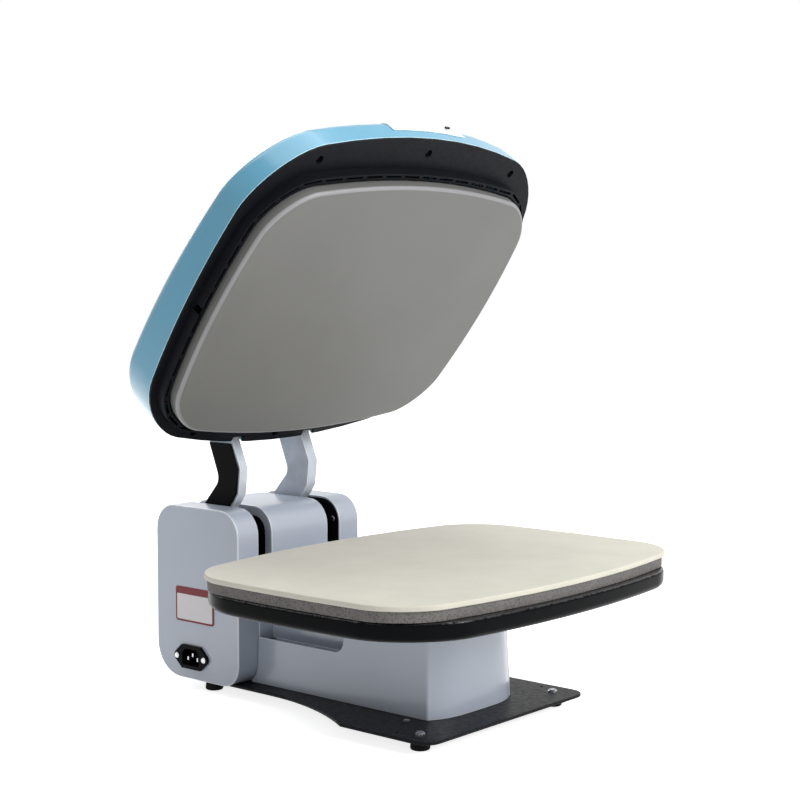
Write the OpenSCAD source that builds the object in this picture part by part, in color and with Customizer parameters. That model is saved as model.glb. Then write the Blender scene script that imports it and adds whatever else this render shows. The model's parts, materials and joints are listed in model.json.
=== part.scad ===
// Powered clamshell heat press: a heated platen under a moulded hood is swung on two
// arms over a felt-covered lower platen, by a gear motor in the towers at the back.
// Millimetres, +Z up, +Y to the back, X across; the press is drawn with the hood open.

/* [Platens] */
// Width of the heated platen at the middle of its sides
platen_w = 397; // [385:1:402]
// Depth of the heated platen at the middle of its sides
platen_d = 304; // [290:1:308]
// Thickness of the heated platen
platen_t = 12; // [11:1:16]
// Corner radius of the heated platen
platen_r = 42; // [35:1:60]
// How far the middle of the heated platen's left and right side bows outwards
platen_side_bow = 15; // [10:1:18]
// How far the middle of the heated platen's front and rear bows outwards
platen_end_bow = 21; // [14:1:24]
// Width of the felt pad
pad_w = 436; // [428:1:446]
// Depth of the felt pad
pad_d = 314; // [306:1:322]
// Corner radius of the pads
pad_r = 46; // [36:1:56]
// How far the middle of the pads' left and right side bows outwards
pad_side_bow = 6; // [3:1:10]
// How far the middle of the pads' front and rear bows outwards
pad_end_bow = 26; // [18:1:30]
// Thickness of the felt pad
felt_t = 5; // [3:0.5:8]
// Thickness of the foam pad under the felt
foam_t = 10; // [6:0.5:14]
// Step from the felt's edge in to the foam's edge
foam_step = 2; // [1:0.5:6]

/* [Lower tray] */
// Width of the tray that carries the pads
tray_w = 436; // [426:1:442]
// Depth of the tray
tray_d = 324; // [312:1:330]
// Corner radius of the tray
tray_r = 66; // [50:1:80]
// How far the middle of the tray's left and right side bows outwards
tray_side_bow = 9; // [5:1:14]
// How far the middle of the tray's front and rear bows outwards
tray_end_bow = 22; // [15:1:26]
// Height of the tray's edge
tray_h = 17.5; // [14:0.5:22]
// Height of the tray's underside above the bench
tray_z = 120.5; // [116:0.5:128]
// Radius of the tray's rounded lower edge
tray_round = 7; // [4:0.5:9]
// Thickness of the steel plate in the tray's underside
plate_t = 5; // [4:0.5:8]
// Width of that steel plate
plate_w = 300; // [280:2:340]
// Depth of that steel plate
plate_d = 220; // [200:2:240]

/* [Base] */
// Height of the rubber feet under the base plate
foot_h = 10.6; // [9.6:0.2:12]
// Thickness of the base plate
base_t = 3; // [2.5:0.5:5]
// Width of the base plate at its front
base_w = 246; // [236:2:262]
// Width of the base plate under the towers
base_rear_w = 170; // [160:1:172]
// Distance from the platens' centre to the base plate's front edge
base_front = 84; // [76:1:96]
// Where the base plate's sides begin to curve in, behind the platens' centre
shoulder_y = 22; // [10:1:32]
// Where that curve has reached the narrow width
shoulder_end_y = 150; // [130:2:170]
// Diameter of the front feet
front_foot_d = 18.5; // [16:0.5:24]
// Diameter of the rear feet
rear_foot_d = 18.5; // [16:0.5:24]
// Distance between the front feet, centre to centre
front_foot_gap = 204; // [190:2:212]
// Distance between the rear feet, centre to centre
rear_foot_gap = 144; // [124:2:150]

/* [Pedestal] */
// Width of the pedestal at its foot
pedestal_w = 128; // [122:1:134]
// Distance from the platens' centre to the pedestal's front corners
pedestal_front = 35; // [28:1:40]
// How far the pedestal's front bows out between its corners
front_bow = 10.5; // [5:0.5:16]
// How far the pedestal's walls lean in between its foot and its top
lean = 4; // [1:0.5:7]
// Wall thickness of the moulded covers
wall = 2.5; // [2:0.25:3.5]
// Height of the side walls beside the notch
notch_z = 60.5; // [48:0.5:76]
// Where the notch begins, behind the platens' centre
notch_y = 78; // [70:1:86]

/* [Towers] */
// Distance from the platens' centre to the towers' front
tower_front = 191; // [188:1:198]
// Depth of the towers
tower_d = 121.5; // [116:0.5:130]
// Height of the towers' top above the bench
tower_top = 189.5; // [187:0.5:196]
// Height of the covers' lower edge above the bench
tower_bottom = 10.8; // [10.6:0.1:12]
// Width over the three towers
tower_w = 178.6; // [176:0.2:190]
// Width of the centre tower
centre_w = 83; // [80:0.2:86]
// Width of each arm slot
slot_w = 18.5; // [17.6:0.1:19.5]
// Radius of the towers' top edges
top_r = 26; // [18:1:30]
// Radius of the towers' front lower edge
front_r = 23; // [16:1:28]
// Radius of the towers' rear lower edge
rear_r = 34; // [24:1:40]
// Height of the panels that close the slots below the arms
slot_floor_z = 127; // [116:1:129]

/* [Hinge and drive] */
// Distance from the platens' centre to the hinge line
hinge_y = 285.7; // [284:0.1:288]
// Height of the hinge line above the bench
hinge_z = 162.4; // [161:0.1:164]
// Opening angle of the hood
open_angle = 53.3; // [40:0.1:56]
// Diameter of the hinge shaft
shaft_d = 18; // [16:0.5:20]
// Radial running clearance of the shafts in their bushes
run_gap = 0.05; // [0.03:0.01:0.09]
// Thickness of the steel hinge plates
hinge_plate_t = 3; // [2.5:0.5:4]
// Module of the drive teeth
tooth_m = 2; // [2:0.1:2.1]
// Teeth that the sector gear would have as a full wheel
sector_n = 54; // [50:1:56]
// Teeth of the drive pinion
pinion_n = 18; // [18:1:20]
// Face width of the teeth
tooth_w = 8; // [6:1:12]

/* [Arms] */
// Thickness of each arm
arm_t = 13.5; // [11:0.5:14]
// Radius of the arm's eye round the hinge shaft
eye_r = 19; // [16:0.5:20]
// Thickness of the cable cover on the left arm
cable_cover_t = 2.5; // [1.5:0.5:4]
// Bare edge left round the cable cover
cable_cover_edge = 2; // [1:0.5:4]

/* [Hood] */
// Width of the hood at its rim
hood_w = 430; // [424:1:438]
// Depth of the hood at its rim
hood_d = 374; // [366:1:380]
// Corner radius of the hood
hood_r = 60; // [50:1:75]
// How far the middle of the hood's left and right side bows outwards
hood_side_bow = 16; // [10:1:22]
// How far the middle of the hood's front and rear bows outwards
hood_end_bow = 33; // [22:1:36]
// How far the hood's centre lies in front of the platens' centre
hood_shift = 6; // [4:0.5:9]
// Height of the hood's rim above the heated face
rim_h = 23; // [20:0.5:26]
// Height of the hood's top at its front edge above the heated face
hood_front_h = 53.5; // [51:0.5:58]
// Height of the hood's top at its rear edge above the heated face
hood_rear_h = 69; // [64:0.5:72]
// Radius of the hood's top edge
hood_round = 11; // [8:1:16]
// How much further the top rises to its centre
crown = 4; // [2:0.5:6]
// Width of the control panel
panel_w = 107; // [90:1:130]
// How far the control panel's centre lies to the right
panel_x = 6.5; // [0:0.5:16]
// Depth of the control panel on the hood's top
panel_d = 92; // [80:1:110]
// Thickness of the control panel
panel_t = 2; // [1.5:0.5:3]
// Height of the control panel's lower edge above the hood's rim
panel_low = 12; // [9:1:15]

/* [Skirt] */
// Visible height of the heated platen below the skirt
skirt_h = 10.4; // [8:0.2:12]
// Clear gap between the heated platen and the skirt
skirt_gap = 1.5; // [1:0.25:2]
// Width of the skirt's band of vents
vent_band = 6.5; // [6:0.5:8]
// Length of each vent
vent_l = 20.5; // [12:0.5:24]
// Bar left between two vents
vent_bar = 4.8; // [4:0.2:10]
// Sheet thickness of the skirt
skirt_t = 2; // [1.5:0.25:2.5]

/* [Power inlet] */
// Distance between the inlet's fixing screws
inlet_screw_gap = 40; // [40:0.5:42]
// Height of the inlet's centre above the bench
inlet_z = 34; // [33:0.5:56]
// Distance from the tower's front to the inlet's centre
inlet_y = 68; // [60:1:78]

/* [Rating plate] */
// Length of the bare rating plate
label_l = 57; // [40:1:70]
// Height of the bare rating plate
label_h = 36; // [24:1:44]

/* [Hidden] */

$fn = 48;
fit = 0.3; // clearance between parts that are pushed together
hair = 0.02; // clearance of parts pressed or clamped on a shaft
cut = 1; // overshoot of every cutting tool
half = 0.5;

grey = "#9da6b3";
pale_grey = "#c9cfda";
steel = "#8d9095";
black = "#1d1f22";
rubber = "#222222";
sky = "#74b7d3";
chrome = "#c9ccd0";

base_top = foot_h + base_t;
tray_top = tray_z + tray_h;
foam_top = tray_top + foam_t;
pad_top = foam_top + felt_t;
face_z = pad_top + fit; // the heated face when the hood is shut
tower_rear = tower_front + tower_d;
// The origin is the middle of the whole press, from the tray's front to the towers' back.
frame_y = (max(pad_d, tray_d) / 2 - tower_rear) / 2;

side_x = centre_w / 2 + slot_w; // inner face of the side towers
outer_x = tower_w / 2;
arm_x = centre_w / 2 + (slot_w - arm_t) / 2 + 0.75; // inner face of an arm
hinge_r = shaft_d / 2;

// Points of a rounded rectangle, hw by hd half-size, with the same count on every ring
arc_n = 10;
side_n = 7;
function corner_centre(hw, hd, r, k) =
    [(k == 0 || k == 3 ? 1 : -1) * (hw - r), (k < 2 ? 1 : -1) * (hd - r)];
function arc_point(c, r, a) = [c.x + r * cos(a), c.y + r * sin(a)];
function rounded(hw, hd, r) = [
    for (k = [0:3])
        let (c = corner_centre(hw, hd, r, k),
             n = corner_centre(hw, hd, r, (k + 1) % 4),
             p = arc_point(c, r, 90 * k + 90),
             q = arc_point(n, r, 90 * k + 90))
        each concat(
            [for (i = [0:arc_n]) arc_point(c, r, 90 * k + 90 * i / arc_n)],
            [for (i = [1:side_n]) p + (q - p) * i / (side_n + 1)])];
// The same outline bowed out: b.x at its left and right, b.y at its front and rear;
// w and d are measured at mid-side
function bowed(w, d, r, b) =
    let (hw = w / 2 - b.x, hd = d / 2 - b.y)
    [for (p = rounded(hw, hd, r))
        [p.x * (1 + b.x / hw * (1 - pow(p.y / hd, 2))),
         p.y * (1 + b.y / hd * (1 - pow(p.x / hw, 2)))]];
function inset(w, d, r, b, i) = bowed(w - 2 * i, d - 2 * i, max(r - i, 6), b);
platen_bow = [platen_side_bow, platen_end_bow];
pad_bow = [pad_side_bow, pad_end_bow];
tray_bow = [tray_side_bow, tray_end_bow];
hood_bow = [hood_side_bow, hood_end_bow];

// A solid through a stack of rings of equal count, each [points, height, slope along Y]
module loft(rings) {
    n = len(rings[0][0]);
    m = len(rings);
    points = [for (g = rings) each [for (p = g[0])
        [p.x, p.y, g[1] + (len(g) > 2 ? g[2] : 0) * p.y]]];
    sides = [for (k = [0:m - 2]) for (i = [0:n - 1])
        [k * n + i, (k + 1) * n + i, (k + 1) * n + (i + 1) % n, k * n + (i + 1) % n]];
    polyhedron(points, concat([[for (i = [0:n - 1]) i]],
        [[for (i = [n - 1:-1:0]) (m - 1) * n + i]], sides));
}

// Places what follows in the press's own frame, and what follows with the hood
module press() { translate([0, frame_y, 0]) children(); }
module hood() {
    press() translate([0, hinge_y, hinge_z]) rotate([-open_angle, 0, 0])
        translate([0, -hinge_y, face_z - hinge_z]) children();
}
module along_x(x0, x1) {
    translate([x0, 0, 0]) rotate([90, 0, 90]) linear_extrude(x1 - x0) children();
}
module both_sides() {
    children();
    mirror([1, 0, 0]) children();
}

// Base plate: wide in front, drawn in by a curve to the towers
function shoulder(s) = base_rear_w / 2 + (base_w - base_rear_w) / 2 * pow(1 - s, 2);
base_corner_r = 16;
shoulder_steps = 12;
base_rear = tower_rear - rear_r - 3; // where the covers' lower edge begins to round up
function base_side() = concat(
    [for (i = [0:6]) arc_point([base_w / 2 - base_corner_r, base_corner_r - base_front],
        base_corner_r, -90 + 15 * i)],
    [for (i = [0:shoulder_steps])
        [shoulder(i / shoulder_steps),
         shoulder_y + (shoulder_end_y - shoulder_y) * i / shoulder_steps]],
    [for (i = [0:6]) arc_point([base_rear_w / 2 - rear_r * half, base_rear - rear_r * half],
        rear_r * half, 15 * i)]);
function base_points() =
    let (side = base_side(), n = len(side))
    concat(side, [for (i = [n - 1:-1:0]) [-side[i].x, side[i].y]]);
front_foot = [front_foot_gap / 2, -57];
rear_foot = [rear_foot_gap / 2, tower_front + 54];
foot_screw_r = 2.5;
small_screw = [75, -18];
spare_hole = [111, -37];
spare_hole_r = 1.6;
module base_plate() {
    color(black) press() difference() {
        translate([0, 0, foot_h]) linear_extrude(base_t) polygon(base_points());
        both_sides() for (p = [front_foot, rear_foot, small_screw])
            translate([p.x, p.y, foot_h - cut])
                cylinder(r = foot_screw_r + hair, h = base_t + 2 * cut);
        both_sides() translate([spare_hole.x, spare_hole.y, foot_h - cut])
            cylinder(r = spare_hole_r, h = base_t + 2 * cut, $fn = 24);
    }
}

foot_bore_h = 8;
module foot(d) {
    difference() {
        rotate_extrude() polygon([[0, 0], [d / 2 - 1.5, 0], [d / 2 - 0.5, 0.6],
            [d / 2, 2], [d / 2 - 1, foot_h], [0, foot_h]]);
        translate([0, 0, foot_h - foot_bore_h])
            cylinder(r = foot_screw_r + hair, h = foot_bore_h + cut);
    }
}
module front_feet() {
    color(rubber) press() both_sides() translate(front_foot) foot(front_foot_d);
}
module rear_feet() {
    color(rubber) press() both_sides() translate(rear_foot) foot(rear_foot_d);
}

module pan_screw(head_r, head_h, shank_r, shank_l) {
    rotate_extrude() polygon([[0, -shank_l], [shank_r, -shank_l], [shank_r, 0],
        [head_r, 0], [head_r, head_h * 0.4], [head_r * 0.7, head_h], [0, head_h]]);
}
module foot_screws() {
    color(chrome) press() both_sides() {
        for (p = [front_foot, rear_foot])
            translate([p.x, p.y, base_top])
                pan_screw(4.6, 2.4, foot_screw_r, base_t + foot_bore_h - 1);
        translate([small_screw.x, small_screw.y, base_top])
            pan_screw(3.2, 1.2, foot_screw_r, base_t);
    }
}

// Side profile of the towers in the Y-Z plane, drawn in by i
function tower_arc(y, z, r, a) = [for (k = [0:8]) arc_point([y, z], r, a + 90 / 8 * k)];
module tower_profile(i = 0) {
    polygon(concat(
        tower_arc(tower_rear - rear_r, tower_bottom + rear_r, rear_r - i, -90),
        tower_arc(tower_rear - top_r, tower_top - top_r, top_r - i, 0),
        tower_arc(tower_front + top_r, tower_top - top_r, top_r - i, 90),
        tower_arc(tower_front + front_r, tower_bottom + front_r, front_r - i, 180)));
}

// Pedestal: a leaning shell with a bowed front, cut low beside the notch
pedestal_corner = 3.5;
pedestal_rear = tower_front + 8;
pedestal_top = tray_z - fit;
front_steps = 16;
function pedestal_ring(i, shrink) =
    let (hw = pedestal_w / 2 - shrink - i, f = pedestal_front - shrink - i,
         r = pedestal_corner - min(i, 2.5))
    concat(
        [for (k = [0:front_steps])
            let (x = (hw - r) * (2 * k / front_steps - 1))
            [x, -f - front_bow * (1 - pow(x / (hw - r), 4))]],
        [for (k = [1:6]) [hw - r + r * sin(15 * k),
            -f + r * (1 - cos(15 * k))]],
        [[hw, pedestal_rear - i], [-hw, pedestal_rear - i]],
        [for (k = [6:-1:1]) [-hw + r - r * sin(15 * k),
            -f + r * (1 - cos(15 * k))]]);
notch_r = 12;
notch_slant = 10;
module notch_profile() {
    y1 = pedestal_rear + 10;
    z1 = pedestal_top + 10;
    polygon(concat(
        [[y1, z1], [notch_y - notch_slant, z1]],
        [for (k = [0:6]) arc_point([notch_y + notch_r - 4, notch_z + notch_r], notch_r,
            190 + 80 / 6 * k)],
        [[y1, notch_z]]));
}
neck_hw = centre_w / 2;
floor_z = notch_z - 4;
module pedestal_shell() {
    color(grey) press() difference() {
        loft([[pedestal_ring(0, 0), base_top], [pedestal_ring(0, lean), pedestal_top]]);
        loft([[pedestal_ring(wall, 0), base_top - cut],
            [pedestal_ring(wall, lean), pedestal_top + cut]]);
        along_x(-pedestal_w, pedestal_w) notch_profile();
        along_x(-pedestal_w, pedestal_w) tower_profile(-1);
    }
}

// Neck cover: the narrow box behind the notch, with the ledge at its foot
ledge_hole_r = 2;
module neck_cover() {
    y0 = notch_y - notch_slant - 4;
    y1 = tower_front - fit;
    ledge_hw = pedestal_w / 2 - lean - wall - fit;
    color(grey) press() difference() {
        union() {
            translate([-neck_hw, y0, floor_z])
                cube([2 * neck_hw, y1 - y0, pedestal_top - floor_z]);
            translate([-ledge_hw, y0, floor_z - wall])
                cube([2 * ledge_hw, y1 - 6 - y0, wall]);
        }
        translate([wall - neck_hw, y0 - cut, floor_z - wall - cut])
            cube([2 * (neck_hw - wall), y1 - y0 - wall + cut, pedestal_top - floor_z + cut]);
        both_sides() for (y = [y0 + 22, y1 - 26])
            translate([neck_hw + 9, y, floor_z - wall - cut])
                cylinder(r = ledge_hole_r, h = wall + 2 * cut, $fn = 24);
    }
}

// Welded post from the base plate to the lower plate, with a flange on top
post_w = 84;
post_front = 30;
post_rear = 56;
post_t = 4;
flange_out = 8;
bolt_r = 3;
bolt_at = [[post_w / 2 - 12, -post_front + 12], [post_w / 2 - 12, post_rear - 12]];
module platen_post() {
    depth = post_front + post_rear;
    height = tray_z - base_top;
    color(steel) press() difference() {
        translate([-post_w / 2, -post_front, base_top]) {
            difference() {
                cube([post_w, depth, height]);
                translate([post_t, post_t, -cut])
                    cube([post_w - 2 * post_t, depth - 2 * post_t, height - post_t + cut]);
            }
            translate([-flange_out, -flange_out * half, 0])
                cube([post_w + 2 * flange_out, depth + flange_out, post_t]);
        }
        both_sides() for (p = bolt_at)
            translate([p.x, p.y, tray_z - post_t - cut])
                cylinder(r = bolt_r + hair, h = post_t + 2 * cut, $fn = 24);
    }
}
module platen_bolts() {
    color(chrome) press() both_sides() for (p = bolt_at)
        translate([p.x, p.y, tray_z - post_t]) mirror([0, 0, 1])
            pan_screw(5.5, 3.5, bolt_r, post_t + plate_t - 1);
}

// Side tower cover, open towards its slot; the base plate passes inside its skirt
module plate_clearance() {
    translate([0, 0, foot_h - 10]) linear_extrude(base_t + 10 + hair)
        offset(delta = fit) polygon(base_points());
}
module side_tower(open_cut) {
    color(pale_grey) press() mirror([open_cut, 0, 0]) difference() {
        along_x(-outer_x, -side_x) tower_profile();
        along_x(wall - outer_x, cut - side_x) tower_profile(wall);
        plate_clearance();
        if (open_cut == 0) inlet_cutout();
    }
}
module left_tower_cover() { side_tower(0); }
module right_tower_cover() { side_tower(1); }

// Centre tower cover, with lips beside the slots and panels that close them low down
lip = 10;
slot_panel_gap = 0.3;
module centre_tower_cover() {
    panel_hw = side_x - slot_panel_gap;
    inner = centre_w / 2 - wall;
    color(pale_grey) press() difference() {
        union() {
            difference() {
                along_x(-centre_w / 2, centre_w / 2) tower_profile();
                along_x(-inner, inner) tower_profile(wall);
                along_x(-centre_w, centre_w) tower_profile(lip);
            }
            intersection() {
                difference() {
                    along_x(-panel_hw, panel_hw) tower_profile();
                    along_x(-panel_hw - cut, panel_hw + cut) tower_profile(wall);
                }
                translate([-panel_hw, tower_front - cut, base_top])
                    cube([2 * panel_hw, tower_d + 2 * cut, slot_floor_z - base_top]);
            }
        }
        plate_clearance();
    }
}

// Steel hinge plates, standing on the base plate
bush_r = hinge_r + 4;
bush_flange_r = hinge_r + 6;
bush_flange_t = 1.2;
plate_edge = wall + fit;
slot_screws = [[tower_front + 10, tower_top - 23], [tower_front + 10, tower_top - 80],
    [tower_rear - 12, tower_top - 110]];
module hinge_plate(x0) {
    difference() {
        intersection() {
            along_x(x0, x0 + hinge_plate_t) tower_profile(plate_edge);
            translate([x0 - cut, 0, base_top]) cube([hinge_plate_t + 2 * cut, 400, 400]);
        }
        along_x(x0 - cut, x0 + hinge_plate_t + cut)
            translate([hinge_y, hinge_z]) circle(r = bush_r + hair);
    }
}
outer_plate_x = side_x + fit;
inner_plate_x = centre_w / 2 - wall - hinge_plate_t;
module outer_hinge_plates() {
    color(black) press() both_sides() difference() {
        hinge_plate(outer_plate_x);
        for (p = slot_screws) along_x(outer_plate_x - cut, outer_plate_x + hinge_plate_t + cut)
            translate(p) circle(r = 1.5 + hair, $fn = 24);
    }
}
module inner_hinge_plates() {
    color(black) press() both_sides() hinge_plate(inner_plate_x);
}
module bush(x0) {
    difference() {
        union() {
            along_x(x0, x0 + hinge_plate_t) translate([hinge_y, hinge_z]) circle(r = bush_r);
            along_x(x0 + hinge_plate_t, x0 + hinge_plate_t + bush_flange_t)
                translate([hinge_y, hinge_z]) circle(r = bush_flange_r);
        }
        along_x(x0 - cut, x0 + hinge_plate_t + bush_flange_t + cut)
            translate([hinge_y, hinge_z]) circle(r = hinge_r + run_gap);
    }
}
module hinge_bushes() {
    color("#a8843c") press() both_sides() {
        bush(outer_plate_x);
        mirror([1, 0, 0]) bush(-inner_plate_x - hinge_plate_t);
    }
}
module plate_screws() {
    color(chrome) press() both_sides() for (p = slot_screws)
        translate([outer_plate_x, p.x, p.y]) rotate([0, -90, 0])
            pan_screw(2.8, 1.2, 1.5, hinge_plate_t + 4);
}

// Gear train: a sector on the hinge shaft and a pinion below and in front of it
pressure = 20;
tooth_gap = 0.12; // thinning of each flank
function involute(a) = tan(a) * 180 / PI - a;
function flank_angle(n, r) =
    let (rp = tooth_m * n / 2, rb = rp * cos(pressure), a = r > rb ? acos(rb / r) : 0)
    90 / n - tooth_gap / rp * 180 / PI + involute(pressure) - involute(a);
flank_steps = 6;
function tooth(n, at) =
    let (rp = tooth_m * n / 2, ra = rp + tooth_m * 0.97, rf = rp - tooth_m * 1.25,
         r0 = max(rf, rp * cos(pressure)))
    concat(
        [arc_point([0, 0], rf, at - flank_angle(n, r0))],
        [for (k = [0:flank_steps]) let (r = r0 + (ra - r0) * k / flank_steps)
            arc_point([0, 0], r, at - flank_angle(n, r))],
        [for (k = [flank_steps:-1:0]) let (r = r0 + (ra - r0) * k / flank_steps)
            arc_point([0, 0], r, at + flank_angle(n, r))],
        [arc_point([0, 0], rf, at + flank_angle(n, r0))]);
mesh_angle = 221.6; // direction from the hinge to the pinion, from the back upwards
gear_reach = tooth_m * (sector_n + pinion_n) / 2;
pinion_y = hinge_y + gear_reach * cos(mesh_angle);
pinion_z = hinge_z + gear_reach * sin(mesh_angle);
sector_pitch = 360 / sector_n;
sector_first = -floor((open_angle + 9) / sector_pitch);
gear_x = 2;
sector_hub_r = hinge_r + 7;
module sector_gear() {
    color(steel) press() difference() {
        union() {
            along_x(gear_x, gear_x + tooth_w) translate([hinge_y, hinge_z])
                polygon(concat([[4, 4]], [for (k = [sector_first:1])
                    each tooth(sector_n, mesh_angle + (k - half) * sector_pitch)]));
            along_x(gear_x - 1, gear_x + tooth_w + 6) translate([hinge_y, hinge_z])
                circle(r = sector_hub_r);
        }
        along_x(gear_x - 1 - cut, gear_x + tooth_w + 6 + cut) translate([hinge_y, hinge_z])
            circle(r = hinge_r + hair);
    }
}
pinion_shaft_r = 5;
shaft_seat = 15;
gearbox_x = gear_x - 6;
module drive_pinion() {
    color(steel) press() union() {
        along_x(gear_x, gear_x + tooth_w) translate([pinion_y, pinion_z])
            polygon([for (k = [0:pinion_n - 1])
                each tooth(pinion_n, mesh_angle + 180 + k * 360 / pinion_n)]);
        along_x(gearbox_x - shaft_seat + fit, gear_x + tooth_w + 4)
            translate([pinion_y, pinion_z]) circle(r = pinion_shaft_r);
    }
}

// Worm gear motor, flanged to the left inner hinge plate, its motor hanging down
gearbox_y = 52;
gearbox_h = 50;
motor_r = 15.5;
module gear_motor() {
    x0 = -inner_plate_x;
    motor_x = (x0 + gearbox_x) / 2;
    y0 = pinion_y - gearbox_y * 0.45;
    z0 = pinion_z - gearbox_h * 0.45;
    color("#5c6066") press() difference() {
        union() {
            translate([x0, y0, z0]) cube([gearbox_x - x0, gearbox_y, gearbox_h]);
            along_x(gearbox_x - cut, gearbox_x + 2) translate([pinion_y, pinion_z])
                circle(r = pinion_shaft_r + 5);
            translate([motor_x, y0 + gearbox_y * half, base_top + 12])
                cylinder(r = motor_r, h = z0 - base_top - 12 + cut);
            translate([motor_x, y0 + gearbox_y * half, base_top + 4])
                cylinder(r = motor_r - 7, h = 9);
        }
        along_x(gearbox_x - shaft_seat, gearbox_x + 2 + cut)
            translate([pinion_y, pinion_z]) circle(r = pinion_shaft_r + run_gap);
    }
}

// Power board on the left outer hinge plate, above the inlet
board_t = 1.6;
board_off = 5;
module power_board() {
    x1 = -outer_plate_x - hinge_plate_t;
    y0 = tower_front + 22;
    z0 = tower_bottom + 52;
    w = 64;
    h = 54;
    color("#2f6b46") press() {
        for (y = [y0 + 6, y0 + w - 6]) for (z = [z0 + 6, z0 + h - 6])
            translate([x1 - board_off, y, z]) rotate([0, 90, 0]) cylinder(r = 2.5, h = board_off);
        translate([x1 - board_off - board_t, y0, z0]) cube([board_t, w, h]);
        translate([x1 - board_off - board_t - 11, y0 + 8, z0 + 10]) cube([11.01, 20, 15]);
        translate([x1 - board_off - board_t - 11, y0 + 34, z0 + 8]) cube([11.01, 22, 28]);
        for (k = [0:2]) translate([x1 - board_off - board_t, y0 + 14 + 13 * k, z0 + 44])
            rotate([0, -90, 0]) cylinder(r = 4.5, h = 10);
    }
}

// Mains inlet: flange with ears, recessed socket and three pins
inlet_at = [tower_front + inlet_y, inlet_z];
inlet_flange_w = 28;
inlet_flange_h = 24.5;
inlet_flange_t = 3;
socket_w = 24.5;
socket_h = 16.5;
socket_depth = 16;
inlet_ear_r = 5;
inlet_body_depth = 20;
inlet_screw_r = 1.5;
module inlet_outline(w, h, chamfer) {
    polygon([[-w / 2, -h / 2], [w / 2, -h / 2], [w / 2, h / 2 - chamfer],
        [w / 2 - chamfer, h / 2], [chamfer - w / 2, h / 2], [-w / 2, h / 2 - chamfer]]);
}
module inlet_cutout() {
    along_x(-outer_x - cut, wall + cut - outer_x) translate(inlet_at) {
        inlet_outline(socket_w + 4, socket_h + 4.5, 5);
        for (s = [-1, 1]) translate([s * inlet_screw_gap / 2, 0])
            circle(r = inlet_screw_r + hair, $fn = 24);
    }
}
module power_inlet() {
    ear_y = inlet_screw_gap / 2;
    color(black) press() difference() {
        union() {
            along_x(-outer_x - inlet_flange_t, -outer_x) translate(inlet_at) hull() {
                square([inlet_flange_w, inlet_flange_h], center = true);
                for (s = [-1, 1]) translate([s * ear_y, 0]) circle(r = inlet_ear_r, $fn = 32);
            }
            along_x(-outer_x - cut, inlet_body_depth - outer_x - inlet_flange_t)
                translate(inlet_at) inlet_outline(socket_w + 3.4, socket_h + 3.9, 4.7);
            along_x(inlet_body_depth - outer_x - inlet_flange_t - cut,
                inlet_body_depth - outer_x + 3) translate(inlet_at)
                for (s = [-7, 0, 7]) translate([s, 0]) square([5, 1], center = true);
        }
        along_x(-outer_x - inlet_flange_t - cut, socket_depth - outer_x - inlet_flange_t)
            translate(inlet_at) inlet_outline(socket_w, socket_h, 4);
        along_x(-outer_x - inlet_flange_t - cut, -outer_x + cut) translate(inlet_at)
            for (s = [-1, 1]) translate([s * ear_y, 0])
                circle(r = inlet_screw_r + hair, $fn = 24);
    }
}
module inlet_pins() {
    color(chrome) press() for (p = [[-7, -2], [7, -2], [0, 2]])
        translate([0, inlet_at.x + p.x, inlet_at.y + p.y])
            translate([3 - outer_x - inlet_flange_t, -1, -2]) cube([socket_depth - 3, 2, 4]);
}
module inlet_screws() {
    color(chrome) press() for (s = [-1, 1])
        translate([-outer_x - inlet_flange_t, inlet_at.x + s * inlet_screw_gap / 2, inlet_at.y])
            rotate([0, -90, 0]) pan_screw(3, 1.8, inlet_screw_r, inlet_flange_t + wall + 4);
}

// Bare rating plate on the left tower
label_t = 0.6;
label_r = 3;
label_y = tower_front + 63.6;
label_z = 88;
module rating_plate() {
    color("#7d1520") press() along_x(-outer_x - label_t, -outer_x) translate([label_y, label_z])
        polygon(rounded(label_l / 2, label_h / 2, label_r));
}

// Lower platen: tray, steel plate and the two pads
module lower_tray() {
    r = tray_round;
    color(black) press() difference() {
        loft(concat(
            [for (k = [0:4]) [inset(tray_w, tray_d, tray_r, tray_bow,
                r * (1 - sin(22.5 * k))), tray_z + r * (1 - cos(22.5 * k))]],
            [[inset(tray_w, tray_d, tray_r, tray_bow, 0), tray_top - 4],
             [inset(tray_w, tray_d, tray_r, tray_bow, 1.5), tray_top - 2.5],
             [inset(tray_w, tray_d, tray_r, tray_bow, 3), tray_top]]));
        translate([-plate_w / 2 - fit, -plate_d / 2 - fit, tray_z - cut])
            cube([plate_w + 2 * fit, plate_d + 2 * fit, plate_t + fit + cut]);
    }
}
module lower_plate() {
    color(steel) press() difference() {
        translate([-plate_w / 2, -plate_d / 2, tray_z]) cube([plate_w, plate_d, plate_t]);
        both_sides() for (p = bolt_at) translate([p.x, p.y, tray_z - cut])
            cylinder(r = bolt_r + hair, h = plate_t + 2 * cut, $fn = 24);
    }
}
module foam_pad() {
    color("#6f6c66") press() translate([0, 0, tray_top]) linear_extrude(foam_t)
        polygon(inset(pad_w, pad_d, pad_r, pad_bow, foam_step));
}
module felt_pad() {
    e = min(1.2, felt_t / 3);
    color("#ddd9cc") press() loft([
        [inset(pad_w, pad_d, pad_r, pad_bow, e), foam_top],
        [inset(pad_w, pad_d, pad_r, pad_bow, 0), foam_top + e],
        [inset(pad_w, pad_d, pad_r, pad_bow, 0), pad_top - e],
        [inset(pad_w, pad_d, pad_r, pad_bow, e), pad_top]]);
}

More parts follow.
